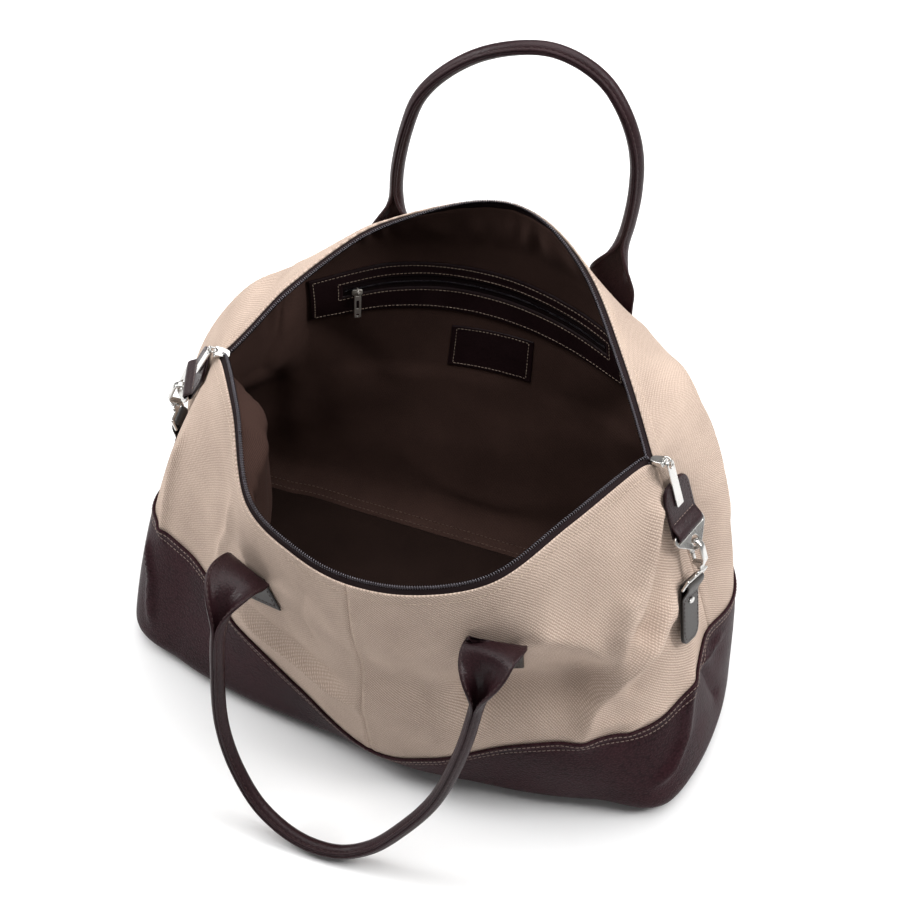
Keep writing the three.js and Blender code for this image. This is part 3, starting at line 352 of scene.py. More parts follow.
def wall(u, q):
    """The outer face of the canvas, with its folds and creases."""
    height = fold_height(u, q) + crease_height(u, q)
    p = plain_wall(u, q) + normals_of(plain_wall, u, q) * height[..., None]
    return press(p, np.where(q <= leather_q(u), LEATHER_DEPTH, CANVAS_DEPTH))


def wall_row(u, q, lift=0.0):
    """Points lifted off the wall by some millimetres, with the wall's normals."""
    n = normals_of(wall, u, q)
    return wall(u, q) + n * lift, n


# Materials.


class Nodes:
    """A short way to build a material's node tree."""

    def __init__(self, name):
        self.material = bpy.data.materials.new(name)
        self.material.use_nodes = True
        self.tree = self.material.node_tree
        self.shader = self.tree.nodes["Principled BSDF"]

    def add(self, kind, links=(), **values):
        """A new node: links feed its sockets, and values are its settings or its sockets' constants."""
        node = self.tree.nodes.new(kind)
        for key, value in values.items():
            if hasattr(node, key):
                setattr(node, key, value)
            else:
                node.inputs[key.replace("_", " ")].default_value = value
        for socket, source in dict(links).items():
            self.tree.links.new(source, node.inputs[socket])
        return node

    def link(self, source, socket):
        self.tree.links.new(source, self.shader.inputs[socket])

    def value(self, socket, number):
        self.shader.inputs[socket].default_value = number

    def ramp(self, source, *stops):
        """Two colours at two places of the source, blended between."""
        node = self.add("ShaderNodeValToRGB", {"Fac": source})
        for element, (place, color) in zip(node.color_ramp.elements, stops):
            element.position = place
            element.color = (*color, 1)
        return node.outputs["Color"]

    def math(self, operation, a, b):
        node = self.add("ShaderNodeMath", operation=operation)
        for socket, value in zip(node.inputs, (a, b)):
            if isinstance(value, (int, float)):
                socket.default_value = value
            else:
                self.tree.links.new(value, socket)
        return node.outputs[0]

    def total(self, *terms):
        """The sum of outputs, each times its weight."""
        result = 0.0
        for source, weight in terms:
            result = self.math("ADD", self.math("MULTIPLY", source, weight), result)
        return result

    def noise(self, vector, scale, detail):
        return self.add("ShaderNodeTexNoise", {"Vector": vector}, Scale=scale, Detail=detail).outputs["Fac"]

    def spread(self, source, from_low, from_high, low, high):
        """The source's range stretched to another range."""
        node = self.add(
            "ShaderNodeMapRange", {"Value": source},
            From_Min=from_low, From_Max=from_high, To_Min=low, To_Max=high,
        )
        return node.outputs["Result"]

    def bump(self, height, distance, strength=1.0):
        node = self.add("ShaderNodeBump", {"Height": height}, Strength=strength, Distance=distance)
        return node.outputs["Normal"]


WAVE_RATE = 10


def bands(nodes, vector, period):
    """Slanting stripes of a period in millimetres across the cloth's own coordinates."""
    wave = nodes.add(
        "ShaderNodeTexWave", {"Vector": vector}, bands_direction="DIAGONAL",
        Scale=2 * math.pi / (WAVE_RATE * period), Distortion=1.8, Detail=2.0, Detail_Scale=1.5,
    )
    return wave.outputs["Fac"]


def cloth_material(name, dark, light, thread_mm, rough, sheen, bump_mm):
    """Woven cloth: crossing threads with a twill line, uneven yarn and slow changes of tone."""
    nodes = Nodes(name)
    uv = nodes.add("ShaderNodeUVMap", uv_map="cloth").outputs["UV"]
    mirror = nodes.add("ShaderNodeVectorMath", {0: uv}, operation="MULTIPLY")
    mirror.inputs[1].default_value = (-1, 1, 1)
    warp = bands(nodes, uv, thread_mm)
    crossing = nodes.math("MULTIPLY", warp, bands(nodes, mirror.outputs[0], thread_mm))
    weave = nodes.total((crossing, 0.6), (warp, 0.4))
    yarn = nodes.noise(uv, 0.9, 3.0)
    slow = nodes.noise(uv, 0.02, 3.0)
    tone = nodes.total((weave, 0.4), (yarn, 0.35), (slow, 0.3))
    nodes.link(nodes.ramp(tone, (0.2, dark), (0.75, light)), "Base Color")
    nodes.value("Roughness", rough)
    nodes.value("Sheen Weight", sheen)
    nodes.value("Sheen Roughness", 0.5)
    nodes.value("Sheen Tint", (*light, 1))
    nodes.value("Specular IOR Level", 0.15)
    nodes.link(nodes.bump(nodes.total((weave, 1.0), (yarn, 0.4)), bump_mm * MM), "Normal")
    return nodes.material


def leather_material(name, dark, light, rough_low, rough_high, grain_mm, bump_mm, shine):
    """Pebbled leather: cells of grain, fine creases, and sheen that follows the grain."""
    nodes = Nodes(name)
    where = nodes.add("ShaderNodeTexCoord").outputs["Object"]
    warp = nodes.add("ShaderNodeTexNoise", {"Vector": where}, Scale=140.0, Detail=2.0).outputs["Color"]
    bend = nodes.add("ShaderNodeVectorMath", {0: warp}, operation="SCALE", Scale=0.0025).outputs[0]
    moved = nodes.add("ShaderNodeVectorMath", {0: where, 1: bend}, operation="ADD").outputs[0]
    cells = nodes.add(
        "ShaderNodeTexVoronoi", {"Vector": moved}, feature="SMOOTH_F1",
        Scale=1 / (grain_mm * MM), Smoothness=0.45,
    )
    fine = nodes.noise(where, 2200.0, 3.0)
    slow = nodes.noise(where, 22.0, 4.0)
    grain = nodes.math("SUBTRACT", 1.0, cells.outputs["Distance"])
    tone = nodes.total((grain, 0.5), (slow, 0.6))
    nodes.link(nodes.ramp(tone, (0.3, dark), (0.85, light)), "Base Color")
    rough = nodes.total((slow, 1.0), (fine, 0.4))
    nodes.link(nodes.spread(rough, 0.4, 1.0, rough_low, rough_high), "Roughness")
    nodes.value("Specular IOR Level", shine)
    nodes.link(nodes.bump(nodes.total((grain, 1.0), (fine, 0.25)), bump_mm * MM), "Normal")
    return nodes.material


def metal_material(name, tint, rough, metallic=1.0):
    """Polished plate with faint handling marks."""
    nodes = Nodes(name)
    where = nodes.add("ShaderNodeTexCoord").outputs["Object"]
    marks = nodes.noise(where, 60.0, 2.0)
    nodes.link(nodes.ramp(marks, (0.3, [0.9 * c for c in tint]), (0.7, tint)), "Base Color")
    nodes.value("Metallic", metallic)
    nodes.link(nodes.spread(marks, 0.0, 1.0, rough, rough + 0.14), "Roughness")
    return nodes.material


def thread_material(name, dark, light):
    """Twisted sewing thread."""
    nodes = Nodes(name)
    where = nodes.add("ShaderNodeTexCoord").outputs["Object"]
    wave = nodes.add(
        "ShaderNodeTexWave", {"Vector": where}, bands_direction="DIAGONAL", Scale=700.0, Distortion=2.0,
    ).outputs["Fac"]
    nodes.link(nodes.ramp(wave, (0.1, dark), (0.8, light)), "Base Color")
    nodes.value("Roughness", 0.75)
    nodes.link(nodes.bump(wave, 0.1 * MM, 0.5), "Normal")
    return nodes.material


# Cloths: dark and light colour, thread in millimetres, roughness, sheen and bump in millimetres.
CANVAS = cloth_material("canvas_twill", (0.27, 0.2, 0.16), (0.68, 0.537, 0.445), 2.7, 0.92, 0.1, 0.26)
LINING = cloth_material("lining_cloth", (0.019, 0.009, 0.007), (0.068, 0.036, 0.028), 1.6, 0.9, 0.04, 0.1)
# The back lining is a lighter copy of the lining cloth: painted light where the back wall catches more light.
LINING_BACK_PAINTED_LIGHT = cloth_material(
    "lining_back_painted_light_cloth", (0.033, 0.0165, 0.013), (0.118, 0.066, 0.053), 1.6, 0.9, 0.05, 0.1,
)
# The lining floor is a darker copy of the lining cloth: painted shade where the floor lies in shadow.
LINING_FLOOR_PAINTED_SHADE = cloth_material(
    "lining_floor_painted_shade_cloth", (0.011, 0.0052, 0.004), (0.039, 0.021, 0.0165), 1.6, 0.9, 0.03, 0.1,
)
TAPE = cloth_material("zip_tape_cloth", (0.008, 0.004, 0.005), (0.024, 0.014, 0.015), 0.9, 0.8, 0.04, 0.1)
# Leathers: dark and light colour, lowest and highest roughness, grain and bump in millimetres, and shine.
LEATHER = leather_material(
    "leather_pebbled", (0.012, 0.0038, 0.0053), (0.043, 0.0165, 0.0205), 0.36, 0.52, 2.0, 0.4, 0.045,
)
STRAP_LEATHER = leather_material(
    "leather_strap", (0.011, 0.0037, 0.0047), (0.034, 0.0135, 0.0165), 0.3, 0.46, 1.3, 0.2, 0.22,
)
POCKET_LEATHER = leather_material(
    "leather_pocket", (0.010, 0.004, 0.005), (0.030, 0.0135, 0.0155), 0.36, 0.52, 1.0, 0.12, 0.3,
)
# A greyer copy of the dark brown leather for the handle patches and chapes: the grey is painted reflection of
# the bright surroundings.
LEATHER_PAINTED_SHEEN = leather_material(
    "leather_painted_sheen", (0.014, 0.0108, 0.0096), (0.035, 0.029, 0.026), 0.32, 0.48, 0.9, 0.08, 0.3,
)
STEEL = metal_material("polished_plate", (0.62, 0.61, 0.59), 0.2)
NICKEL = metal_material("dull_nickel", (0.9, 0.86, 0.79), 0.34, 0.7)
COIL = metal_material("coil_sheen", (0.13, 0.12, 0.135), 0.22)
THREAD_TAN = thread_material("thread_tan", (0.16, 0.11, 0.094), (0.29, 0.215, 0.18))
THREAD_DARK = thread_material("thread_dark", (0.022, 0.010, 0.010), (0.06, 0.032, 0.030))
THREAD_BROWN = thread_material("thread_brown", (0.10, 0.06, 0.045), (0.20, 0.13, 0.10))
THREAD_SAND = thread_material("thread_sand", (0.45, 0.34, 0.26), (0.68, 0.55, 0.44))

# Mesh helpers: everything is worked out in millimetres and stored in metres.


def add_piece(name, points, faces, material, uv=None, body=BODY, sharp=None, mend=False):
    """A new mesh piece that rides a body; uv is in millimetres, and mend turns all faces outward."""
    mesh = bpy.data.meshes.new(name)
    mesh.from_pydata((np.asarray(points, float).reshape(-1, 3) * MM).tolist(), [], faces)
    mesh.materials.append(material)
    for polygon in mesh.polygons:
        polygon.use_smooth = True
    if uv is not None:
        layer = mesh.uv_layers.new(name="cloth")
        index = np.empty(len(mesh.loops), dtype=np.int64)
        mesh.loops.foreach_get("vertex_index", index)
        layer.data.foreach_set("uv", np.asarray(uv, np.float32).reshape(-1, 2)[index].ravel())
    if sharp is not None:
        mesh.set_sharp_from_angle(angle=math.radians(sharp))
    mesh.validate()
    if mend:
        work = bmesh.new()
        work.from_mesh(mesh)
        bmesh.ops.recalc_face_normals(work, faces=work.faces)
        work.to_mesh(mesh)
        work.free()
    mesh.update()
    piece = bpy.data.objects.new(name, mesh)
    bpy.context.scene.collection.objects.link(piece)
    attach(piece, body)
    return piece


def grid_faces(rows, columns, start, flip, ring):
    """Quads over a grid of points numbered row by row."""
    faces = []
    wide = columns if ring else columns - 1
    for j in range(rows - 1):
        for i in range(wide):
            k = (i + 1) % columns
            a = start + j * columns + i
            b = start + j * columns + k
            c = start + (j + 1) * columns + k
            d = start + (j + 1) * columns + i
            faces.append((d, c, b, a) if flip else (a, b, c, d))
    return faces


def tube_faces(rows, columns, start=0):
    """Quads round a tube of rings, with a cap at each end."""
    first = [start + i for i in range(columns)]
    last = [start + (rows - 1) * columns + i for i in range(columns)]
    return grid_faces(rows, columns, start, False, True) + [tuple(first[::-1]), tuple(last)]


def border(rows, columns):
    """The points round a grid's edge, counter-clockwise as seen from its outer side."""
    bottom = [(0, i) for i in range(columns)]
    right = [(j, columns - 1) for j in range(1, rows)]
    top = [(rows - 1, i) for i in range(columns - 2, -1, -1)]
    left = [(j, 0) for j in range(rows - 2, 0, -1)]
    return bottom + right + top + left


EDGE_ROUND = 0.45


def add_shell(name, outer, inner, material, slot, uv=None, mend=False):
    """A new piece: a thin closed sheet between two grids of points, with a rounded edge."""
    rows, columns = outer.shape[:2]
    count = rows * columns
    faces = grid_faces(rows, columns, 0, False, False) + grid_faces(rows, columns, count, True, False)
    j, i = np.array(border(rows, columns)).T
    centre = (outer + inner) / 2
    beyond = unit(centre[j, i] - centre[np.clip(j, 1, rows - 2), np.clip(i, 1, columns - 2)])
    thick = np.linalg.norm(outer - inner, axis=-1)[j, i]
    middle = centre[j, i] + beyond * EDGE_ROUND * thick[:, None]
    loop = (j * columns + i).tolist()
    edge = 2 * count
    for k, a in enumerate(loop):
        n = (k + 1) % len(loop)
        b = loop[n]
        faces.append((b, a, edge + k, edge + n))
        faces.append((edge + n, edge + k, count + a, count + b))
    if uv is not None:
        flat = uv.reshape(-1, 2)
        uv = np.concatenate([flat, flat, uv[j, i]])
    points = np.concatenate([outer.reshape(-1, 3), inner.reshape(-1, 3), middle])
    return add_piece(name, points, faces, material, uv, mend=mend)


def lengths(points, axis):
    """Running length along an axis of a grid of points."""
    steps = np.linalg.norm(np.diff(points, axis=axis), axis=-1)
    start = np.zeros_like(np.take(steps, [0], axis=axis))
    return np.concatenate([start, np.cumsum(steps, axis=axis)], axis=axis)


def at_run(at, run, values):
    """Rows of three values, read off at some running lengths."""
    return np.stack([np.interp(at, run, values[:, k]) for k in range(3)], axis=-1)


def cloth_uv(points):
    """Flat coordinates of a grid in millimetres: along its middle row, and up each column."""
    along = lengths(points, 1)[points.shape[0] // 2]
    up = lengths(points, 0)
    return np.stack([np.broadcast_to(along, up.shape), up], axis=-1)


def grid_normals(p):
    """Unit normals of a grid of points, on the side that its rows and columns turn to."""
    return unit(np.cross(np.gradient(p, axis=1), np.gradient(p, axis=0)))


# Rings of one stitch: share of its length, share of its radius and lift in radii.
STITCH_RINGS = [
    (-0.5, 0.35, -0.7), (-0.42, 0.85, 0.0), (0.0, 1.0, 0.35), (0.42, 0.85, 0.0), (0.5, 0.35, -0.7),
]
STITCH_SIDES = 6

# Stitches of each kind: pitch, length and radius in millimetres.
BASE_STITCH = (4.2, 3.2, 0.4)
CANVAS_STITCH = (4.0, 3.0, 0.36)
LINING_STITCH = (4.5, 2.8, 0.38)
HANDLE_STITCH = (5.0, 3.4, 0.42)
PATCH_STITCH = (4.0, 3.0, 0.34)
STRAP_STITCH = (3.6, 2.7, 0.34)
POCKET_STITCH = (3.6, 2.6, 0.34)
LABEL_STITCH = (3.4, 2.4, 0.32)


def stitches(name, rows, sizes, material):
    """One piece of short thread stitches along rows of points with their outward normals."""
    pitch, length, radius = sizes
    turn = np.arange(STITCH_SIDES) * 2 * np.pi / STITCH_SIDES
    points, faces = [], []
    for path, out in rows:
        run = lengths(path, 0)
        count = max(1, int(run[-1] / pitch))
        for middle in (np.arange(count) + 0.5) * run[-1] / count:
            a, hub, b = at_run(middle + np.array([-0.5, 0, 0.5]) * length, run, path)
            along = unit(b - a)
            up = at_run(middle, run, out)
            up = unit(up - along * (up @ along))
            side = np.cross(along, up)
            faces += tube_faces(len(STITCH_RINGS), STITCH_SIDES, len(points))
            for share, size, lift in STITCH_RINGS:
                centre = hub + along * share * length + up * lift * radius
                for t in turn:
                    points.append(centre + radius * size * (side * math.cos(t) + up * math.sin(t)))
    return add_piece(name, np.array(points), faces, material)


# Canvas panels, each with a seam at its sides and a sewn hem along the rim.
CANVAS_IN = -1.5
LEATHER_LAP = 9.0
CANVAS_ROWS = 92
COLUMNS_PER_U = {"canvas": 30, "leather": 26, "lining": 24, "floor": 16, "tape": 26}
HEM = 8.5


def below_rim(u, distance):
    """q at some millimetres down the cloth from the rim."""
    q = np.broadcast_to(1 - np.linspace(0, 0.25, 120)[:, None], (120, u.size))
    run = lengths(wall(np.broadcast_to(u, q.shape), q), 0)
    distance = np.broadcast_to(distance, u.shape)
    return np.array([np.interp(distance[i], run[:, i], q[:, i]) for i in range(u.size)])


def canvas_panel(name, u_from, u_to):
    """One panel from the leather to the rim."""
    u = np.linspace(u_from, u_to, int((u_to - u_from) * COLUMNS_PER_U["canvas"]) + 1)
    lap = leather_q(u, LEATHER_LAP)
    q = lap + (1 - lap) * (np.linspace(0, 1, CANVAS_ROWS) ** 0.9)[:, None]
    uu = np.broadcast_to(u, q.shape)
    p, n = wall_row(uu, q)
    run, up = lengths(p, 1), lengths(p, 0)
    from_edge = np.minimum(run, run[:, -1:] - run)
    down = up[-1] - up
    seam = 0.45 * (1 - smooth(from_edge, 6, 8.5)) - ridge(from_edge, 0, 1.3)
    hem = 0.5 * (1 - smooth(down, HEM - 0.5, HEM + 1.5)) - 0.35 * ridge(down, HEM, 1.0)
    lift = (seam + hem)[..., None]
    uv = cloth_uv(plain_wall(uu, q))
    piece = add_shell(name, p + n * lift, p + n * CANVAS_IN, CANVAS, "canvas", uv)
    return piece


PANELS = [
    ("canvas_front_left", U_LEFT, U_FRONT),
    ("canvas_front_right", U_FRONT, U_RIGHT),
    ("canvas_back_right", U_RIGHT, U_BACK),
    ("canvas_back_left", U_BACK, TURNS),
]
for node, u_from, u_to in PANELS:
    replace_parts(canvas_panel(node + "_cloth", u_from, u_to), node)

# Leather base, with a narrow welt along its top edge.
WELT = 4.4
WELT_ROWS = [11.0, 8.5, 7.0, 6.0, WELT + 0.6, WELT - 0.2, 3.0, 1.6, 0.6, 0.0]
WELT_RISE = 0.7
GROOVE_AT, GROOVE_DEPTH = 8.5, 0.3


def leather_base():
    """The leather cup: its floor, its round lower edge, its wall and its welt."""
    columns = TURNS * COLUMNS_PER_U["leather"]
    u = np.arange(columns) * TURNS / columns
    low_top = leather_q(u, WELT_ROWS[0] + 2)
    rows = [np.full(columns, value) for value in np.linspace(-1, 0, 9)[:-1]]
    rows += [low_top * value for value in np.linspace(0, 1, 34)]
    rows += [leather_q(u, below) for below in WELT_ROWS]
    q = np.stack(rows)
    uu = np.broadcast_to(u, q.shape)
    p, n = wall_row(uu, q)
    n[0] = -UPWARD
    below = (leather_q(uu) - q) * (station_at(uu)[..., RIM_Z] - WALL_FOOT)
    welt = WELT_RISE * (1 - smooth(below, WELT - 0.2, WELT + 0.6))
    welt = welt - GROOVE_DEPTH * ridge(below, GROOVE_AT, 1.2)
    outer = p + n * (LEATHER_OUT + welt)[..., None]
    inner = p + n * LEATHER_IN
    inner[0, :, 2] = p[0, :, 2] - LEATHER_IN
    outer[0, :, 2] = p[0, :, 2] - LEATHER_OUT
    count = q.size
    faces = grid_faces(*q.shape, 0, False, True) + grid_faces(*q.shape, count, True, True)
    rim = (outer[-1] + inner[-1]) / 2
    rim[:, 2] += 0.8
    edge = 2 * count
    for i in range(columns):
        k = (i + 1) % columns
        a, b = count - columns + i, count - columns + k
        faces.append((a, b, edge + k, edge + i))
        faces.append((edge + i, edge + k, count + b, count + a))
    middle = edge + columns
    floor = np.array([[0, 0, outer[0, 0, 2]], [0, 0, inner[0, 0, 2]]])
    for i in range(columns):
        k = (i + 1) % columns
        faces.append((k, i, middle))
        faces.append((count + i, count + k, middle + 1))
    points = np.concatenate([outer.reshape(-1, 3), inner.reshape(-1, 3), rim, floor])
    return add_piece("leather_base_cup", points, faces, LEATHER)


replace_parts(leather_base(), "leather_base")

edge_u = np.linspace(0, TURNS, 700)
edge_rows = [
    wall_row(edge_u, leather_q(edge_u, 2.4), LEATHER_OUT + WELT_RISE),
    wall_row(edge_u, leather_q(edge_u, GROOVE_AT), LEATHER_OUT - GROOVE_DEPTH),
]
stitches("stitch_leather_edge", edge_rows, BASE_STITCH, THREAD_TAN)
rim_row = wall_row(edge_u, below_rim(edge_u, HEM), 0.1)
stitches("stitch_rim", [rim_row], CANVAS_STITCH, THREAD_SAND)
seam_q = np.linspace(0.08, 0.94, 90)
seam_rows = []
for seam_u in (U_FRONT + 0.05, U_BACK + 0.05, U_BACK - 0.05):
    here_u = np.full(seam_q.shape, seam_u)
    clear = seam_q > leather_q(here_u) + 0.01
    seam_rows.append(wall_row(here_u[clear], seam_q[clear], 0.35))
stitches("stitch_seams", seam_rows, CANVAS_STITCH, THREAD_SAND)

# Lining: it hangs a little loose, with puckers under the zip and slack folds at both ends.
LINING_OUT, LINING_THICK = -2.7, 0.8
LINING_LOW_OUT = -0.1
LINING_TOP = 5.6
# Slack parts of the lining: from u and to u, the way that they lean, and how far in millimetres.
FLAPS = [
    ((0.1, 3.0), (0.93, 0.34, -0.05), 58.0),
    ((16.08, 17.92), (0.62, -0.77, -0.12), 30.0),
    ((8.6, 9.95), (-0.85, 0.5, -0.1), 15.0),
]


def slack(u, q):
    """How far the lining hangs off the wall, as vectors, and how far it puckers inward."""
    from_rim = 1 - q
    hang = 0.62 * smooth(from_rim, 0.0, 0.08) + 0.38 * smooth(from_rim, 0.05, 0.4)
    hang = hang * (1 - smooth(from_rim, 0.44, 0.66))
    ripple = 1 + 0.04 * np.sin(9 * u + 14 * q)
    moved = np.zeros(u.shape + (3,))
    loose = np.zeros(u.shape)
    for (low, high), way, reach in FLAPS:
        across = np.sin(np.pi * np.clip((u - low) / (high - low), 0, 1)) ** 1.1
        loose = np.maximum(loose, hang * across)
        moved = moved + (reach * hang * across * ripple)[..., None] * unit(np.array(way))
    pocket = smooth(u, 12.2, 12.6) * (1 - smooth(u, 16.05, 16.5))
    pocket = pocket * smooth(q, 0.36, 0.42) * (1 - smooth(q, 0.82, 0.9))
    tucks = 1 + np.sin(23 * u + 2.5 * np.sin(5 * u + 6 * q)) * np.cos(4 * u - 5 * q)
    below_zip = smooth(from_rim, 0.02, 0.1) * (1 - smooth(from_rim, 0.12, 0.4))
    folds = 1 + np.sin(6 * u + 9 * q) * np.sin(11 * q - 3 * u + 1.0)
    lower = smooth(from_rim, 0.1, 0.3) * smooth(q, 0.02, 0.2)
    pucker = (2.3 * tucks * below_zip + 2.6 * folds * lower) * (1 - pocket) * (1 - 0.85 * loose)
    return moved, pucker


def lining_panel(name, u_from, u_to, cloth):
    """Half of the lining wall, from the bottom to just under the zip."""
    u = np.linspace(u_from, u_to, int((u_to - u_from) * COLUMNS_PER_U["lining"]) + 1)
    top = below_rim(u, LINING_TOP + 0.7 * np.sin(19 * u) * np.sin(7 * u + 1.0))
    low_rows = np.broadcast_to(np.linspace(-1, 0, 8)[:-1, None], (7, u.size))
    q = np.concatenate([low_rows, np.linspace(0, 1, 80)[:, None] * top])
    uu = np.broadcast_to(u, q.shape)
    p, n = wall_row(uu, q)
    n[0] = -UPWARD
    share = smooth(q, 0, np.maximum(leather_q(uu, LEATHER_LAP), 0.02))
    moved, pucker = slack(uu, q)
    edge = smooth(np.minimum(uu - u_from, u_to - uu), 0, 0.1)
    out = LINING_LOW_OUT + (LINING_OUT - LINING_LOW_OUT) * share - pucker * edge
    face = p + n * out[..., None] + moved
    facing = grid_normals(face)
    facing[0] = n[0]
    piece = add_shell(name, face, face - facing * LINING_THICK, cloth, "lining", cloth_uv(face))
    return piece


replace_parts(lining_panel("lining_front_cloth", U_LEFT, U_RIGHT, LINING), "lining_front")
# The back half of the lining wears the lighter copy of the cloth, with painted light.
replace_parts(lining_panel("lining_back_painted_light_cloth", U_RIGHT, TURNS, LINING_BACK_PAINTED_LIGHT), "lining_back")


BOTTOM_SEAM_Q = (-0.88, -0.68)


def lining_bottom():
    """The lining's floor: rings that shrink to the middle, with low waves."""
    columns = TURNS * COLUMNS_PER_U["floor"]
    u = np.arange(columns) * TURNS / columns
    edge = wall(u, np.full(columns, -1.0)) * 0.997
    rings = np.linspace(1, 0.02, 40)
    low = np.stack([edge * r for r in rings])
    low[..., 2] = WALL_LOW - LINING_LOW_OUT
    x, y = low[..., 0], low[..., 1]
    wave = 1 + np.sin(0.035 * x + 1.6 * np.sin(0.03 * y)) * np.cos(0.05 * y - 0.02 * x)
    low[..., 2] += 1.6 * wave * smooth(1 - rings, 0.02, 0.15)[:, None]
    top = low + np.array([0, 0, LINING_THICK])
    count = top[..., 0].size
    faces = grid_faces(*top.shape[:2], 0, False, True) + grid_faces(*top.shape[:2], count, True, True)
    for i in range(columns):
        k = (i + 1) % columns
        faces.append((k, i, count + i, count + k))
    last = count - columns
    faces.append(tuple(last + i for i in range(columns)))
    faces.append(tuple(count + last + i for i in range(columns - 1, -1, -1)))
    points = np.concatenate([top.reshape(-1, 3), low.reshape(-1, 3)])
    # The floor wears the darker copy of the lining cloth, with painted shade.
    piece = add_piece("lining_bottom_cloth", points, faces, LINING_FLOOR_PAINTED_SHADE, points[:, :2])
    return piece


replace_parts(lining_bottom(), "lining_bottom")
bottom_u = np.linspace(0, TURNS, 600)
bottom_rows = []
for height in BOTTOM_SEAM_Q:
    row, out = wall_row(bottom_u, np.full(bottom_u.shape, height), LINING_LOW_OUT - LINING_THICK - 0.1)
    bottom_rows.append((row, -out))
stitches("stitch_lining", bottom_rows, LINING_STITCH, THREAD_BROWN)

# Mouth zip: a tape sewn inside the rim that leans in, and a wound coil on its edge.
TAPE_LEAN = 0.35
TAPE_OUT, TAPE_IN = -1.8, -2.4
TAPE_TOP = 5.6
TAPE_SEWN, TAPE_FREE = (12.0, 9.0, 6.0, 3.0, 0.0), (1.2, 2.4, 3.6, 4.8, TAPE_TOP)
COIL_AT, COIL_DEEP = 6.9, -2.1
COIL_PITCH, COIL_RADIUS, COIL_WIRE = 2.1, 1.15, 0.55
COIL_STEPS, COIL_SIDES = 9, 5
ZIP_END_U = 0.45


def tape_place(u):
    """Along the rim: its points, the way up the tape and the way that the tape faces."""
    top = np.ones(u.shape)
    rim = wall(u, top)
    n = normals_of(wall, u, top)
    up = unit(rim - wall(u, top - 1e-3))
    tips = np.min([np.abs(u - U_LEFT), np.abs(u - U_RIGHT), np.abs(u - TURNS)], axis=0)
    lean = (TAPE_LEAN * np.minimum(1, tips / 2))[..., None]
    rise = np.sqrt(1 - lean * lean)
    return rim, up * rise - n * lean, n * rise + up * lean


def coil(name, centre, first, second, pitch, radius, wire):
    """A wound coil round a line of points; first and second are the unit ways across it."""
    run = lengths(centre, 0)
    count = int(run[-1] / pitch * COIL_STEPS)
    at = np.linspace(0, run[-1], count)
    middle, first, second = (at_run(at, run, values) for values in (centre, first, second))
    turn = (2 * np.pi * at / pitch)[:, None]
    line = middle + radius * (first * np.cos(turn) + second * np.sin(turn))
    away = unit(line - middle)
    across = unit(np.cross(unit(np.gradient(line, axis=0)), away))
    spin = (np.arange(COIL_SIDES) * 2 * np.pi / COIL_SIDES)[None, :, None]
    rings = line[:, None] + wire * (away[:, None] * np.cos(spin) + across[:, None] * np.sin(spin))
    return add_piece(name, rings, tube_faces(count, COIL_SIDES), COIL, mend=True)


for half, u_from, u_to in (("front", U_LEFT, U_RIGHT), ("back", U_RIGHT, TURNS)):
    u = np.linspace(u_from + ZIP_END_U, u_to - ZIP_END_U, int((u_to - u_from) * COLUMNS_PER_U["tape"]))
    rim, up, out = tape_place(u)
    rows = [wall_row(u, below_rim(u, down)) for down in TAPE_SEWN]
    rows += [(rim + up * height, out) for height in TAPE_FREE]
    face = np.stack([p + n * TAPE_OUT for p, n in rows])
    back = np.stack([p + n * TAPE_IN for p, n in rows])
    tape = add_shell(f"zip_tape_{half}_cloth", face, back, TAPE, "zip_tape", cloth_uv(face))
    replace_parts(tape, "zip_tape_" + half)
    centre = rim + up * COIL_AT + out * COIL_DEEP
    wire = coil(f"zip_coil_{half}_wire", centre, up, out, COIL_PITCH, COIL_RADIUS, COIL_WIRE)
    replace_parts(wire, "zip_coil_" + half)

# Handles: a leather strap that is flat where it is sewn on and then rolls up, its two edges sewn together
# as lips along the roll.
STRAP_WIDE, ROLL_WIDE = 48.0, 34.0
END_TAPER, END_ROW = 15.0, 5.0
STRAP_THICK = 2.2
LIP = 3.2
ROLL_TURN = 0.86 * math.pi
ROLL_RADIUS = 5.3
FLARE_LENGTH = 62.0
HANDLE_ROWS = 300
STITCH_SPOTS = (3, -4)
LOOSE_EDGE = 0.8


def spline(points, count):
    """Even steps along a centripetal Catmull-Rom curve: points, unit tangents and running length."""
    p = np.array(points, float)
    p = np.concatenate([[2 * p[0] - p[1]], p, [2 * p[-1] - p[-2]]])
    f = np.linspace(0, 1, 40, endpoint=False)[:, None]
    parts = []
    for k in range(1, len(p) - 2):
        a, b, c, d = p[k - 1:k + 3]
        t0, t1, t2 = (math.sqrt(np.linalg.norm(w)) for w in (b - a, c - b, d - c))
        m0 = ((b - a) / t0 - (c - a) / (t0 + t1) + (c - b) / t1) * t1
        m1 = ((c - b) / t1 - (d - b) / (t1 + t2) + (d - c) / t2) * t1
        parts.append(hermite(f, b, m0, c, m1))
    dense = np.concatenate(parts + [p[-2:-1]])
    run = lengths(dense, 0)
    at = np.linspace(0, run[-1], count)
    line = at_run(at, run, dense)
    return line, unit(np.gradient(line, axis=0)), at


def carried(face, along):
    """A direction carried along a line of tangents without twisting."""
    faces = []
    for way in along:
        face = unit(face - way * (face @ way))
        faces.append(face)
    return np.array(faces)


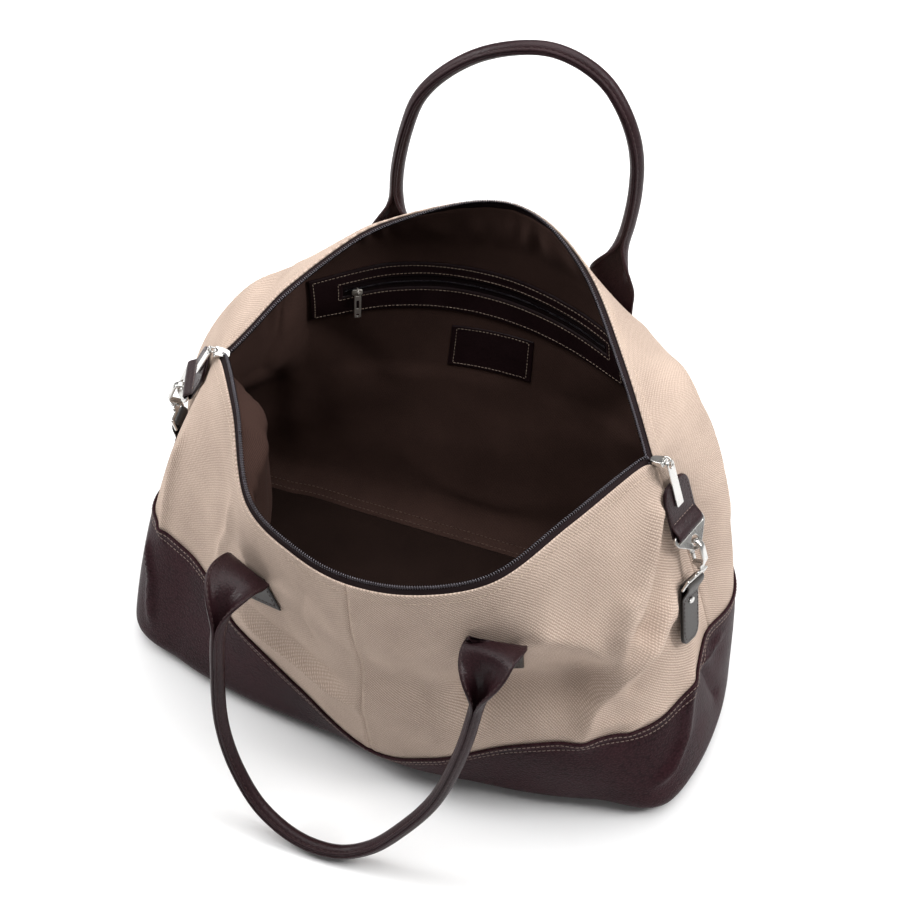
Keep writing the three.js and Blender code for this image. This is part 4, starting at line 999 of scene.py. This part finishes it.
def section(width, curl):
    """Half of the strap's middle line across: run, place, height and slope, from flat to rolled with lips."""
    half = width / 2
    body = half - LIP
    s = np.concatenate([np.linspace(0, body, 12), body + np.linspace(0, LIP, 7)[1:]])
    lip_turn = ROLL_TURN + (math.pi / 2 - ROLL_TURN) * smooth(s - body, 0, 1.8)
    slope = curl * np.where(s < body, ROLL_TURN * s / body, lip_turn)
    middle = (slope[1:] + slope[:-1]) / 2
    x = np.concatenate([[0], np.cumsum(np.cos(middle) * np.diff(s))])
    y = np.concatenate([[0], np.cumsum(np.sin(middle) * np.diff(s))]) - ROLL_RADIUS * curl
    return s, x, y, slope


def mirrored(values, sign=1):
    """Values along half a section, with those of its other half before them."""
    return np.concatenate([sign * values[:0:-1], values])


def strap_section(width, curl, from_end):
    """The strap cut across: its closed outline, its two faces, and the ways out of its outer face."""
    s, x, y, slope = section(width, curl)
    crease = 0.5 * np.sin(0.55 * s + 0.09 * from_end) * np.sin(0.21 * from_end + 0.3 * s)
    crease = mirrored(crease * curl * (1 - curl) * 4)[:, None]
    half = mirrored(STRAP_THICK / 2 + 0.35 * ridge(s, s[-1], 1.6))[:, None]
    middle = np.stack([mirrored(x, -1), mirrored(y)], axis=-1)
    way = np.stack([mirrored(np.sin(slope), -1), mirrored(-np.cos(slope))], axis=-1)
    convex = middle + way * (half + crease)
    hollow = middle - way * (half - crease)
    first = middle[0] + (way[0, 1] * LOOSE_EDGE, -way[0, 0] * LOOSE_EDGE)
    last = middle[-1] + (-way[-1, 1] * LOOSE_EDGE, way[-1, 0] * LOOSE_EDGE)
    return np.concatenate([convex, [last], hollow[::-1], [first]]), convex, hollow, way


def handle(name, node, route, start_face, end_face, loop_face, flat_end, end_share, seam):
    """The strap swept along its route; seam is 1 where the lips lie on the face side and -1 on the other."""
    centre, along, at = spline(route, HANDLE_ROWS)
    from_end = np.minimum(at, at[-1] - at)
    closed = smooth(from_end, flat_end, flat_end + FLARE_LENGTH)
    start = carried(start_face, along)
    end = carried(end_face, along[::-1])[::-1]
    root = np.where((at < at[-1] / 2)[:, None], start, end)
    face = root * (1 - closed)[:, None] + np.array(loop_face) * closed[:, None]
    side = unit(np.cross(along, face))
    thick = np.cross(side, along) * seam
    rings, outside, inside, ways = [], [], [], []
    for k in range(HANDLE_ROWS):
        width = STRAP_WIDE + (ROLL_WIDE - STRAP_WIDE) * closed[k]
        width *= end_share + (1 - end_share) * smooth(from_end[k], 0, END_TAPER)
        ring, convex, hollow, way = strap_section(width, closed[k], from_end[k])
        across = np.stack([side[k], thick[k]])
        rings.append(centre[k] + ring @ across)
        outside.append(centre[k] + convex @ across)
        inside.append(centre[k] + hollow @ across)
        ways.append(way @ across)
    points, outside, inside, ways = (np.array(rows) for rows in (rings, outside, inside, ways))
    wide = points.shape[1]
    piece = add_piece(name, points, tube_faces(HANDLE_ROWS, wide), STRAP_LEATHER, mend=True)
    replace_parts(piece, node)
    past_flat = from_end - flat_end
    sewn = [(inside, -ways, 4, FLARE_LENGTH * 0.85), (outside, ways, FLARE_LENGTH * 0.6, np.inf)]
    seams = []
    if end_share == 1:
        sewn.append((outside, ways, END_ROW - flat_end, -END_ROW))
        for from_tip in (at, at[-1] - at):
            for height in (END_ROW, flat_end - END_ROW):
                k = np.argmin(np.abs(from_tip - height))
                row = points[k, 3:wide // 2 - 4]
                seams.append((row, np.broadcast_to(-thick[k], row.shape)))
    for lines, outs, low, high in sewn:
        for spot in STITCH_SPOTS:
            for part in (slice(0, HANDLE_ROWS // 2), slice(HANDLE_ROWS // 2, None)):
                kept = (past_flat[part] > low) & (past_flat[part] < high)
                if kept.sum() > 2:
                    seams.append((lines[part, spot][kept], outs[part, spot][kept]))
    stitches(name + "_stitches", seams, HANDLE_STITCH, THREAD_DARK)


def off_wall(u, q, away):
    """A point some millimetres off the wall."""
    return wall_row(np.array([u], float), np.array([q], float), away)[0][0]


def outward(u, q):
    """The wall's normal at one place."""
    return normals_of(wall, np.array([u], float), np.array([q], float))[0]


# Routes of the handles between their sewn ends, in millimetres.
FRONT_FREE = [
    (-112, -163, 217), (-113, -181, 210), (-113, -197, 192), (-112, -209, 157),
    (-104, -229, 100), (-86, -243, 58), (-60, -254, 27), (-24, -260, 9),
    (10, -259, 8.5), (38, -252, 22), (64, -241, 52), (88, -226, 91),
    (104, -207, 146), (110, -192, 190), (112, -180, 221), (112, -169, 236),
]
BACK_FREE = [
    (-117, 204, 320), (-117, 205, 345), (-115, 206, 368), (-108, 208, 405), (-97, 212, 440),
    (-78, 217, 466), (-46, 221, 492), (-10, 224, 507), (17, 226, 510), (42, 226, 504),
    (63, 225, 491), (79, 222, 472), (91, 219, 448), (97, 216, 425), (99, 212, 395),
    (97, 208, 364), (92, 206, 332),
]
front_start = [off_wall(3.24, 0.71, 3.7), off_wall(3.24, 0.74, 3.9), off_wall(3.24, 0.768, 7.5)]
front_end = [off_wall(7.05, 0.79, 7.7), off_wall(7.01, 0.771, 3.9), off_wall(6.95, 0.746, 3.7)]
handle(
    "handle_front_strap", "handle_front", front_start + FRONT_FREE + front_end,
    -outward(3.24, 0.71), -outward(6.95, 0.746), (0, -0.88, 0.47), flat_end=22.0, end_share=0.5, seam=1,
)
back_start = [off_wall(15.1, 0.68, 5.4), off_wall(15.1, 0.78, 6.4)]
back_end = [off_wall(12.98, 0.78, 5.8), off_wall(12.98, 0.68, 5.6)]
handle(
    "handle_back_strap", "handle_back", back_start + BACK_FREE + back_end,
    outward(15.1, 0.68), outward(12.98, 0.68), (0, 0.99, -0.12), flat_end=46.0, end_share=1, seam=-1,
)

# Strap ends sewn on the canvas under the handles: four corners in u, q, counter-clockwise from the
# lower left.
PATCH_IN, PATCH_OUT = 0.8, 2.3
PATCHES = {
    "handle_patch_front_left": [(3.13, 0.57), (3.69, 0.62), (3.43, 0.74), (2.87, 0.69)],
    "handle_patch_front_right": [(6.78, 0.62), (7.36, 0.58), (7.38, 0.715), (6.77, 0.745)],
    "handle_patch_back_right": [(12.605, 0.672), (13.275, 0.639), (13.275, 0.785), (12.605, 0.818)],
    "handle_patch_back_left": [(14.83, 0.636), (15.47, 0.676), (15.47, 0.822), (14.83, 0.782)],
}


def square(corners, across, up):
    """u and q over a four-cornered patch, at shares across and up."""
    low_left, low_right, high_right, high_left = (np.array(c) for c in corners)
    across, up = across[..., None], up[..., None]
    low = low_left + (low_right - low_left) * across
    high = high_left + (high_right - high_left) * across
    spot = low + (high - low) * up
    return spot[..., 0], spot[..., 1]


def fine_shares(count, edge=0.03):
    """Shares from 0 to 1 with extra steps at both ends."""
    return np.concatenate([[0, edge / 2], np.linspace(edge, 1 - edge, count), [1 - edge / 2, 1]])


def patch(name, node, corners, low, high, material, inside, bead, inset):
    """A leather patch on the wall with a raised border and a row of stitches; inside is -1 on the lining."""
    shares = fine_shares(22)
    across, up = np.meshgrid(shares, shares)
    p, n = wall_row(*square(corners, across, up))
    from_edge = np.min([across, 1 - across, up, 1 - up], axis=0)
    lift = bead * ridge(from_edge, 0.025, 0.03) - 0.35 * ridge(from_edge, inset, 0.02)
    sides = [p + n * (high + inside * lift)[..., None], p + n * low]
    piece = add_shell(name, *sides[::inside], material, "leather", cloth_uv(p), mend=True)
    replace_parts(piece, node)
    steps = np.linspace(inset, 1 - inset, 40)
    near, far = np.full(steps.shape, inset), np.full(steps.shape, 1 - inset)
    rows = []
    for a, b in ((steps, near), (far, steps), (steps, far), (near, steps)):
        row, out = wall_row(*square(corners, a, b), high)
        rows.append((row, out * inside))
    return rows


patch_rows = []
# Handle patches in the greyer leather, whose grey is painted reflection.
for node, corners in PATCHES.items():
    patch_rows += patch(
        node + "_leather", node, corners, PATCH_IN, PATCH_OUT, LEATHER_PAINTED_SHEEN, inside=1, bead=0.5, inset=0.09,
    )
stitches("stitch_handle_patches", patch_rows, PATCH_STITCH, THREAD_DARK)

# Folded end tabs and the folded leather under the hooks.
CROWN, STITCH_EDGE = 0.35, 2.3


def rounded_end(y, length, half_width, radius, share):
    """Half the width of a strap at y, narrowing to a share of it round the end."""
    into = np.clip((y - (length - radius)) / radius, 0, 1)
    return half_width * (share + (1 - share) * np.sqrt(np.clip(1 - into * into, 0, 1)))


def folded_strap(name, node, place, length, half_width, end_radius, end_share, way, material):
    """Leather folded round a bar: up the wall, round the bar, and back over itself on the outside."""
    inside, outside = STRAP / 2, STRAP_FACE - STRAP / 2
    run = length * (1 - np.linspace(1, 0, 34) ** 1.7)[::-1]
    line = [(y, inside) for y in run]
    for turn in np.linspace(-0.5, -1.5, 18)[1:] * math.pi:
        line.append((FOLD_RADIUS * math.cos(turn), BAR_Z + FOLD_RADIUS * math.sin(turn)))
    top = BAR_Z + FOLD_RADIUS
    for y in run[::-1][1:]:
        drop = float(smooth(np.array(y), 0.0, 12.0))
        line.append((y, top + (outside - top) * drop))
    line = np.array(line)
    across = np.linspace(-1, 1, 25)
    wide = rounded_end(np.clip(line[:, 0], 0, None), length, half_width, end_radius, end_share)
    x = wide[:, None] * across
    crown = CROWN * (1 - np.abs(across) ** 6)
    slope = np.gradient(line, axis=0)
    normal = unit(np.stack([-slope[:, 1], slope[:, 0]], axis=-1))
    normal = normal * np.sign(normal[-1, 1])

    def layer(off, rise):
        y = line[:, :1] + normal[:, :1] * (off + rise)
        z = line[:, 1:] + normal[:, 1:] * (off + rise)
        return place.at(np.stack([x, way * y, z], axis=-1)).reshape(x.shape + (3,))

    def stitch_row(x, y, z):
        spots = place.at(np.stack(np.broadcast_arrays(x, way * y, z), axis=-1))
        return spots, np.broadcast_to(place.axes[2], spots.shape)

    outer, inner = layer(STRAP / 2, crown - CROWN), layer(-STRAP / 2, 0 * crown)
    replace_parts(add_shell(name, outer, inner, material, "leather", mend=True), node)
    face = outside + STRAP / 2 - 0.15
    y = np.linspace(13, length - STITCH_EDGE, 50)
    reach = rounded_end(y + STITCH_EDGE, length, half_width, end_radius, end_share) - STITCH_EDGE
    tip = np.linspace(-1, 1, 20) * reach[-1]
    cross = np.linspace(-1, 1, 24) * (half_width - STITCH_EDGE)
    rows = [stitch_row(sign * reach, y, face) for sign in (-1, 1)]
    rows.append(stitch_row(tip, length - STITCH_EDGE, face))
    rows.append(stitch_row(cross, 12.5, face + 0.1))
    return rows


# Chapes in the greyer leather, whose grey is painted reflection of the bright surroundings.
tab_rows, cross_rows, chape_rows = [], [], []
for side in SIDES:
    *outline_rows, cross_row = folded_strap(
        f"end_tab_{side}_leather", "end_tab_" + side, TABS[side],
        TAB_LENGTH, TAB_HALF_WIDTH, end_radius=12, end_share=0.45, way=1, material=STRAP_LEATHER,
    )
    tab_rows += outline_rows
    cross_rows.append(cross_row)
    chape_rows += folded_strap(
        f"chape_{side}_leather", "chape_" + side, CHAPES[side],
        CHAPE_LENGTH, CHAPE_HALF_WIDTH, end_radius=10, end_share=0.5, way=-1, material=LEATHER_PAINTED_SHEEN,
    )
stitches("stitch_end_tabs", tab_rows, STRAP_STITCH, THREAD_DARK)
stitches("stitch_end_tab_folds", cross_rows, STRAP_STITCH, THREAD_TAN)
stitches("stitch_chapes", chape_rows, STRAP_STITCH, THREAD_DARK)

# Metal: outlines are in millimetres in each piece's own frame.


def arc(x, y, radius, start, end, count):
    """Points along an arc between two angles in degrees."""
    turn = np.radians(np.linspace(start, end, count))
    return np.stack([x + radius * np.cos(turn), y + radius * np.sin(turn)], axis=-1)


def circle(y, radius, count):
    """A closed round outline on the Y axis."""
    return arc(0, y, radius, 0, 360, count + 1)[:-1]


def oblong(x_from, x_to, y_from, y_to):
    """The corners of a rectangle."""
    return [(x_from, y_from), (x_to, y_from), (x_to, y_to), (x_from, y_to)]


def softened(corners, radius, count=6):
    """A closed outline with its corners rounded."""
    points = np.array(corners, float)
    result = []
    for k in range(len(points)):
        here, before, after = points[k], points[k - 1], points[(k + 1) % len(points)]
        back = min(radius, 0.45 * np.linalg.norm(before - here))
        ahead = min(radius, 0.45 * np.linalg.norm(after - here))
        a = here + unit(before - here) * back
        b = here + unit(after - here) * ahead
        for t in np.linspace(0, 1, count):
            result.append((1 - t) ** 2 * a + 2 * t * (1 - t) * here + t * t * b)
    return np.array(result)


def plate(name, place, outlines, thickness, bevel, body=BODY, metal=STEEL):
    """A flat metal piece with rounded edges: the first outline is its rim and the others are its holes."""
    turn = np.linspace(0, np.pi / 2, 5)
    low = [(bevel * (1 - math.sin(t)), bevel * (1 - math.cos(t)) - thickness / 2) for t in turn]
    levels = low + [(inset, -z) for inset, z in low[::-1]]
    points, sides, flat_top, flat_low, caps = [], [], [], [], []
    start = 0
    for k, outline in enumerate(outlines):
        line = np.asarray(outline, float)
        keep = np.linalg.norm(line - np.roll(line, 1, axis=0), axis=1) > 1e-6
        line = line[keep]
        x, y = line.T
        turning = np.sum(x * np.roll(y, -1) - np.roll(x, -1) * y)
        if (turning > 0) != (k == 0):
            line = line[::-1]
        ahead = unit(np.roll(line, -1, axis=0) - line)
        way = unit(ahead + np.roll(ahead, 1, axis=0))
        left = np.stack([-way[:, 1], way[:, 0]], axis=-1)
        count = len(line)
        for inset, z in levels:
            points.append(np.column_stack([line + left * inset, np.full(count, z)]))
        sides += grid_faces(len(levels), count, start, False, True)
        flat_low += [start + i for i in range(count)]
        flat_top += [start + (len(levels) - 1) * count + i for i in range(count)]
        caps.append([(*spot, 0.0) for spot in line + left * bevel])
        start += len(levels) * count
    covers = []
    flat = np.concatenate([np.array(c) for c in caps])
    for a, b, c in tessellate_polygon(caps):
        up = np.cross(flat[b] - flat[a], flat[c] - flat[a])[2] > 0
        top = (a, b, c) if up else (a, c, b)
        covers.append(tuple(flat_top[i] for i in top))
        covers.append(tuple(flat_low[i] for i in top[::-1]))
    piece = add_piece(name, place.at(np.concatenate(points)), covers + sides, metal, body=body)
    for polygon in list(piece.data.polygons)[:len(covers)]:
        polygon.use_smooth = False
    return piece


def torus(place, radius, tube, around=36, sides=12):
    """Points and faces of a ring in the frame's YZ plane."""
    a = np.arange(around)[:, None] * 2 * np.pi / around
    b = np.arange(sides)[None, :] * 2 * np.pi / sides
    far = radius + tube * np.cos(b)
    spots = np.stack([tube * np.sin(b) + 0 * a, far * np.cos(a), far * np.sin(a)], axis=-1)
    faces = []
    for i in range(around):
        for j in range(sides):
            k, m = (i + 1) % around, (j + 1) % sides
            faces.append((i * sides + j, k * sides + j, k * sides + m, i * sides + m))
    return place.at(spots), faces


RING_EYE, LOOP_TOP, HOOK_GAP = -13.5, 14.0, 2.3


def triangle_ring(side):
    """The flat ring in the end tab, with a slot for the tab and a round eye for the hook."""
    top, low = BAR_HALF, -5.3
    half = [(18.5, top), (21, top - 2.5), (20.5, low - 1), (6.5, -18.8)]
    rim = [(-x, y) for x, y in half] + [(0, -22.2)] + half[::-1]
    holes = [softened(oblong(-17.8, 17.8, -top, low), 1.2), circle(RING_EYE, 4.6, 40)]
    piece = plate(f"triangle_ring_{side}_metal", RINGS[side], [softened(rim, 2.2)] + holes, 2.2, 0.7)
    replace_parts(piece, "triangle_ring_" + side)


def hook_loop(side):
    """The loop that carries the hook, with a slot for the folded leather."""
    low, shoulder = -BAR_HALF, 10.2
    half = [(19.5, low), (19.5, shoulder), (5, shoulder), (4, LOOP_TOP)]
    rim = [(-19.5, low)] + half + [(-x, y) for x, y in half[:0:-1]]
    slot = softened(oblong(-16.2, 16.2, BAR_HALF, 7), 1.6)
    piece = plate(f"hook_loop_{side}_metal", LOOPS[side], [softened(rim, 2.0), slot], 2.6, 1.1)
    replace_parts(piece, "hook_loop_" + side)


HOOK_ARM, HOOK_OPEN, HOOK_WIDE, HOOK_BODY, NOSE_DROP = 3.2, 4.2, 6.2, 7.0, 6.0
GATE_THICK, GATE_WIDE, GATE_GAP = 2.0, 3.8, 0.6


def hook(side):
    """A snap hook from its loop to the ring's eye, and its gate."""
    foot = LOOPS[side].at((0, LOOP_TOP + HOOK_GAP, 0))[0]
    eye = RINGS[side].at((0, RING_EYE, 0))[0]
    y = unit(eye - foot)
    away = TABS[side].axes[2]
    z = unit(away - y * (away @ y))
    length = np.linalg.norm(eye - foot) - HOOK_ARM / 2
    place = Place(-z, y, np.cross(y, z), foot)
    outer, bow = HOOK_OPEN + HOOK_ARM, length - HOOK_OPEN
    lug = HOOK_OPEN + GATE_THICK
    line = [(-2.4, 0), (2.4, 0), (2.4, 2.5), (lug, HOOK_BODY - 2), (lug, HOOK_BODY), (-HOOK_OPEN, HOOK_BODY)]
    bend = arc(0, bow, HOOK_OPEN, 180, 0, 22)
    nose = [(HOOK_OPEN, bow - NOSE_DROP), (outer - 1, bow - NOSE_DROP)]
    back = arc(0, bow, outer, 0, 180, 26)
    tail = [(-outer, HOOK_BODY + 2), (-2.4, 2.5)]
    outline = np.concatenate([np.array(line), bend, np.array(nose), back, np.array(tail)])
    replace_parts(plate(f"hook_{side}_metal", place, [outline], HOOK_WIDE, 1.4), "hook_" + side)
    foot_y, top_y = HOOK_BODY + GATE_GAP, bow - NOSE_DROP - GATE_GAP
    gate = softened(oblong(HOOK_OPEN, lug, foot_y, top_y), 0.7)
    piece = plate(f"gate_{side}_metal", place, [gate], GATE_WIDE, 0.6, body=side + "_hook_gate")
    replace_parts(piece, "gate_" + side)


RIVET_RINGS = [(1.0, 0.0), (1.0, 0.35), (0.93, 0.62), (0.78, 0.84), (0.5, 0.96), (0.2, 1.0)]
RIVET_SIDES = 40


def rivet(side):
    """A domed rivet over the model's own; its rings are shares of its width and height."""
    place, _, high = plate_place("rivet_" + side, SIDES[side], UPWARD, True)
    local = place.local(node_points("rivet_" + side))
    half_long, foot, top = local[:, 0].max(), local[:, 2].min(), local[:, 2].max()
    turn = np.arange(RIVET_SIDES) * 2 * np.pi / RIVET_SIDES
    rings = []
    for share, height in RIVET_RINGS:
        x, y = half_long * share * np.cos(turn), high * share * np.sin(turn)
        rings.append(np.stack([x, y, np.full(turn.shape, foot + (top - foot) * height)], axis=-1))
    faces = tube_faces(len(rings), RIVET_SIDES)
    piece = add_piece(f"rivet_{side}_metal", place.at(np.concatenate(rings)), faces, STEEL, sharp=45)
    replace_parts(piece, "rivet_" + side)


for side in SIDES:
    triangle_ring(side)
    hook_loop(side)
    hook(side)
    rivet(side)

# Sliders and pullers, placed from the pullers of the model.
MAIN = {
    "ring_n": 3.2, "ring_up": 6.4, "ring_in": 3.2, "ring_out": 4.9,
    "half": 4.4, "long": 40.0, "thick": 1.6, "hole": 2.9, "metal": STEEL,
}
SMALL = {
    "ring_n": 1.3, "ring_up": 2.6, "ring_in": 2.2, "ring_out": 3.5,
    "half": 3.2, "long": 31.0, "thick": 1.2, "hole": 2.3, "metal": NICKEL,
}
HANG = math.radians(-60)
RING_TUBE = 0.85


def slider_and_puller(slider, puller, out, body, sizes, body_line, body_low, body_high, recess):
    """A slider with its ring, and a holed puller that hangs in it."""
    place, _, high = plate_place(puller, out, UPWARD, False)
    place = place.moved(0, high - sizes["half"], 0)
    half, long, thick = sizes["half"], sizes["long"], sizes["thick"]
    neck = half * 0.72
    foot = softened([(-half, -neck), (-half, -long), (half, -long), (half, -neck)], 1.4)[3:-3]
    outline = np.concatenate([arc(0, 0, half, 0, 180, 24), foot])
    holes = [circle(0, sizes["hole"], 32)]
    if recess:
        holes.append(circle(-long + half + 0.4, half * 0.5, 24))
        holes.append(softened(oblong(-1.3, 1.3, -8, -19), 1.0))
    metal = sizes["metal"]
    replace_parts(plate(puller + "_metal", place, [outline] + holes, thick, 0.45, body, metal), puller)
    middle = (sizes["ring_in"] + sizes["ring_out"]) / 2
    away_y = sizes["ring_up"] + middle * math.sin(HANG)
    away_z = sizes["ring_n"] + middle * math.cos(HANG)
    base = place.moved(0, -away_y, -away_z)
    ax, ay, az = base.axes
    if recess:
        body_place = base.moved(0, 0, (body_low + body_high) / 2)
    else:
        body_place = Place(az, ax, ay, base.at((0, (body_low + body_high) / 2, 0))[0])
    body_outline = [softened(body_line, 2.0)]
    piece = plate(slider + "_metal", body_place, body_outline, body_high - body_low, 0.7, metal=metal)
    ring_points, ring_faces = torus(base.moved(0, sizes["ring_up"], sizes["ring_n"]), middle, RING_TUBE)
    add_piece(slider + "_ring_metal", ring_points, ring_faces, metal)
    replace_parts(piece, slider)


MAIN_BODY = [(1.4, -4.6), (1.4, 4.6), (-6.5, 4.6), (-12.5, 3.0), (-12.5, -3.0), (-6.5, -4.6)]
for side, out in SIDES.items():
    slider_and_puller(
        "slider_" + side, "puller_" + side, out, side + "_zip_puller",
        MAIN, MAIN_BODY, body_low=2.0, body_high=6.6, recess=False,
    )
SMALL_HALF = [(-5, -2.6), (-3.2, -3.6), (3.2, -3.6), (5, -2.6)]
SMALL_BODY = SMALL_HALF + [(-x, -y) for x, y in SMALL_HALF]
slider_and_puller(
    "pocket_slider", "pocket_puller", np.array([0.0, -1, 0]), "pocket_zip_puller",
    SMALL, SMALL_BODY, body_low=-1.2, body_high=0.6, recess=True,
)

# Pocket on the back lining: a leather frame with a slot, the zip behind the slot, and a blank label below.
POCKET_U = (12.7, 16.04)
POCKET_LOW, POCKET_HIGH = (0.545, 0.64), (0.7, 0.8)
SLOT_U = (12.95, 15.66)
SLOT_SHARES = (0.47, 0.71)
FRAME_OUT, FRAME_IN = -4.9, -6.3
MM_PER_SHARE = 45.0


def pocket_place(u, share):
    """q over the pocket: share 0 is its lower edge and 1 its upper edge."""
    t = (u - POCKET_U[0]) / (POCKET_U[1] - POCKET_U[0])
    low = POCKET_LOW[0] + (POCKET_LOW[1] - POCKET_LOW[0]) * t
    high = POCKET_HIGH[0] + (POCKET_HIGH[1] - POCKET_HIGH[0]) * t
    return low + (high - low) * share


def steps_between(values, counts):
    """Steps through the given values, with some steps between each two."""
    parts = [np.linspace(a, b, n, endpoint=False) for a, b, n in zip(values, values[1:], counts)]
    return np.concatenate(parts + [[values[-1]]])


def pocket_frame():
    """The pocket's leather frame: a closed plate over the lining, open at the zip's slot."""
    edge_u, edge_s = 0.02, 0.022
    (u_from, u_to), (slot_left, slot_right), (slot_low, slot_high) = POCKET_U, SLOT_U, SLOT_SHARES
    u = steps_between(
        [u_from, u_from + edge_u, slot_left - edge_u, slot_left,
         slot_right, slot_right + edge_u, u_to - edge_u, u_to],
        [2, 6, 2, 70, 2, 6, 2],
    )
    s = steps_between(
        [0, edge_s, slot_low - edge_s, slot_low, slot_high, slot_high + edge_s, 1 - edge_s, 1],
        [2, 12, 2, 6, 2, 8, 2],
    )
    uu, ss = np.meshgrid(u, s)
    p, n = wall_row(uu, pocket_place(uu, ss))
    rim = np.minimum(np.minimum(uu - u_from, u_to - uu) * MM_PER_U, np.minimum(ss, 1 - ss) * MM_PER_SHARE)
    slot_u = np.maximum(slot_left - uu, uu - slot_right) * MM_PER_U
    slot_s = np.maximum(slot_low - ss, ss - slot_high) * MM_PER_SHARE
    near = np.minimum(rim, np.abs(np.maximum(slot_u, slot_s)))
    lift = 0.3 * ridge(near, 1.4, 0.9) - 0.6 * ridge(near, 0, 0.5)
    face = p + n * (FRAME_IN - lift)[..., None]
    back = p + n * FRAME_OUT
    middle_u = (uu[:-1, :-1] + uu[1:, 1:]) / 2
    middle_s = (ss[:-1, :-1] + ss[1:, 1:]) / 2
    in_slot = (middle_u > slot_left) & (middle_u < slot_right)
    in_slot &= (middle_s > slot_low) & (middle_s < slot_high)
    rows, columns = uu.shape
    count = rows * columns
    faces, used = [], set()
    for j, i in np.argwhere(~in_slot).tolist():
        a = j * columns + i
        quad = (a, a + 1, a + columns + 1, a + columns)
        faces.append(quad[::-1])
        faces.append(tuple(count + v for v in quad))
        used.update(zip(quad, quad[1:] + quad[:1]))
    faces += [(v, w, count + w, count + v) for v, w in sorted(used) if (w, v) not in used]
    points = np.concatenate([face.reshape(-1, 3), back.reshape(-1, 3)])
    kept = np.unique(np.concatenate(faces))
    faces = [tuple(np.searchsorted(kept, quad).tolist()) for quad in faces]
    piece = add_piece(
        "pocket_frame_leather", points[kept], faces, POCKET_LEATHER, sharp=50, mend=True,
    )
    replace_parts(piece, "pocket_frame")


pocket_frame()


def inner_row(u, share, lift):
    """A line on the pocket's visible side with normals into the bag."""
    row, out = wall_row(u, pocket_place(u, share), lift)
    return row, -out


def box_rows(u_from, u_to, s_from, s_to, lift):
    """Four lines of stitches round a rectangle of the pocket."""
    u = np.linspace(u_from, u_to, 90)
    s = np.linspace(s_from, s_to, 20)
    rows = [inner_row(u, np.full(90, value), lift) for value in (s_from, s_to)]
    return rows + [inner_row(np.full(20, value), s, lift) for value in (u_from, u_to)]


pocket_rows = box_rows(POCKET_U[0] + 0.06, POCKET_U[1] - 0.06, 0.07, 0.93, FRAME_IN - 0.1)
pocket_rows += box_rows(
    SLOT_U[0] - 0.05, SLOT_U[1] + 0.05, SLOT_SHARES[0] - 0.06, SLOT_SHARES[1] + 0.06, FRAME_IN - 0.2,
)
stitches("stitch_pocket", pocket_rows, POCKET_STITCH, THREAD_SAND)

POCKET_TAPE_U, POCKET_TAPE_SHARES = (12.8, 15.85), (0.39, 0.79)
POCKET_TAPE_OUT, POCKET_TAPE_IN = -4.1, -4.6
POCKET_COIL_SHARE, POCKET_COIL_DEEP = 0.59, -5.65
tape_u, tape_s = np.meshgrid(np.linspace(*POCKET_TAPE_U, 90), np.linspace(*POCKET_TAPE_SHARES, 12))
tape_p, tape_n = wall_row(tape_u, pocket_place(tape_u, tape_s))
tape_sides = [tape_p + tape_n * depth for depth in (POCKET_TAPE_OUT, POCKET_TAPE_IN)]
pocket_tape = add_shell("pocket_zip_tape_cloth", *tape_sides, TAPE, "zip_tape", cloth_uv(tape_p))
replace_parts(pocket_tape, "pocket_zip_tape")
coil_u = np.linspace(SLOT_U[0] + 0.02, SLOT_U[1] - 0.02, 160)
coil_line, coil_in = inner_row(coil_u, np.full(coil_u.shape, POCKET_COIL_SHARE), POCKET_COIL_DEEP)
coil_up = unit(np.cross(coil_in, np.gradient(coil_line, axis=0)))
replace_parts(coil("pocket_zip_coil_wire", coil_line, coil_up, coil_in, 1.3, 0.62, 0.34), "pocket_zip_coil")

LABEL_CORNERS = oblong(13.74, 14.48, 0.42, 0.545)
LABEL_OUT, LABEL_IN = -4.0, -5.4
label_rows = patch(
    "label_patch_leather", "label_patch", LABEL_CORNERS, LABEL_OUT, LABEL_IN, POCKET_LEATHER,
    inside=-1, bead=0.25, inset=0.055,
)
stitches("stitch_label", label_rows, LABEL_STITCH, THREAD_SAND)

# Floor, light and background: places and sizes are in metres, and powers in watts.
FLOOR_HALF = 6.0
floor_mesh = bpy.data.meshes.new("floor")
floor_corners = [(x, y, 0) for x, y in oblong(-FLOOR_HALF, FLOOR_HALF, -FLOOR_HALF, FLOOR_HALF)]
floor_mesh.from_pydata(floor_corners, [], [(0, 1, 2, 3)])
floor = bpy.data.objects.new("floor", floor_mesh)
bpy.context.scene.collection.objects.link(floor)
paper = Nodes("floor_paper")
paper.value("Base Color", (0.92, 0.92, 0.92, 1))
paper.value("Roughness", 0.9)
floor_mesh.materials.append(paper.material)

world = bpy.data.worlds.new("studio")
world.use_nodes = True
world.node_tree.nodes["Background"].inputs["Color"].default_value = (1, 1, 1, 1)
world.node_tree.nodes["Background"].inputs["Strength"].default_value = 0.19
bpy.context.scene.world = world


def area_light(name, at, toward, size, power):
    """A round lamp at a place, turned to another place."""
    data = bpy.data.lights.new(name, "AREA")
    data.shape = "DISK"
    data.size = size
    data.energy = power
    light = bpy.data.objects.new(name, data)
    back = unit(np.array(at, float) - toward)
    side = unit(np.cross(UPWARD, back))
    basis = Matrix([side, np.cross(back, side), back]).transposed().to_4x4()
    basis.translation = at
    light.matrix_world = basis
    bpy.context.scene.collection.objects.link(light)


area_light("overhead", (0.0, 0.7, 2.3), (0, 0.4, 0), 3.4, 90)
area_light("key", (1.9, 0.3, 1.7), (0, 0, 0.15), 0.9, 31)
area_light("fill", (-2.0, -0.15, 1.5), (0, 0, 0.15), 1.0, 31)

bpy.context.scene.view_settings.view_transform = "Standard"
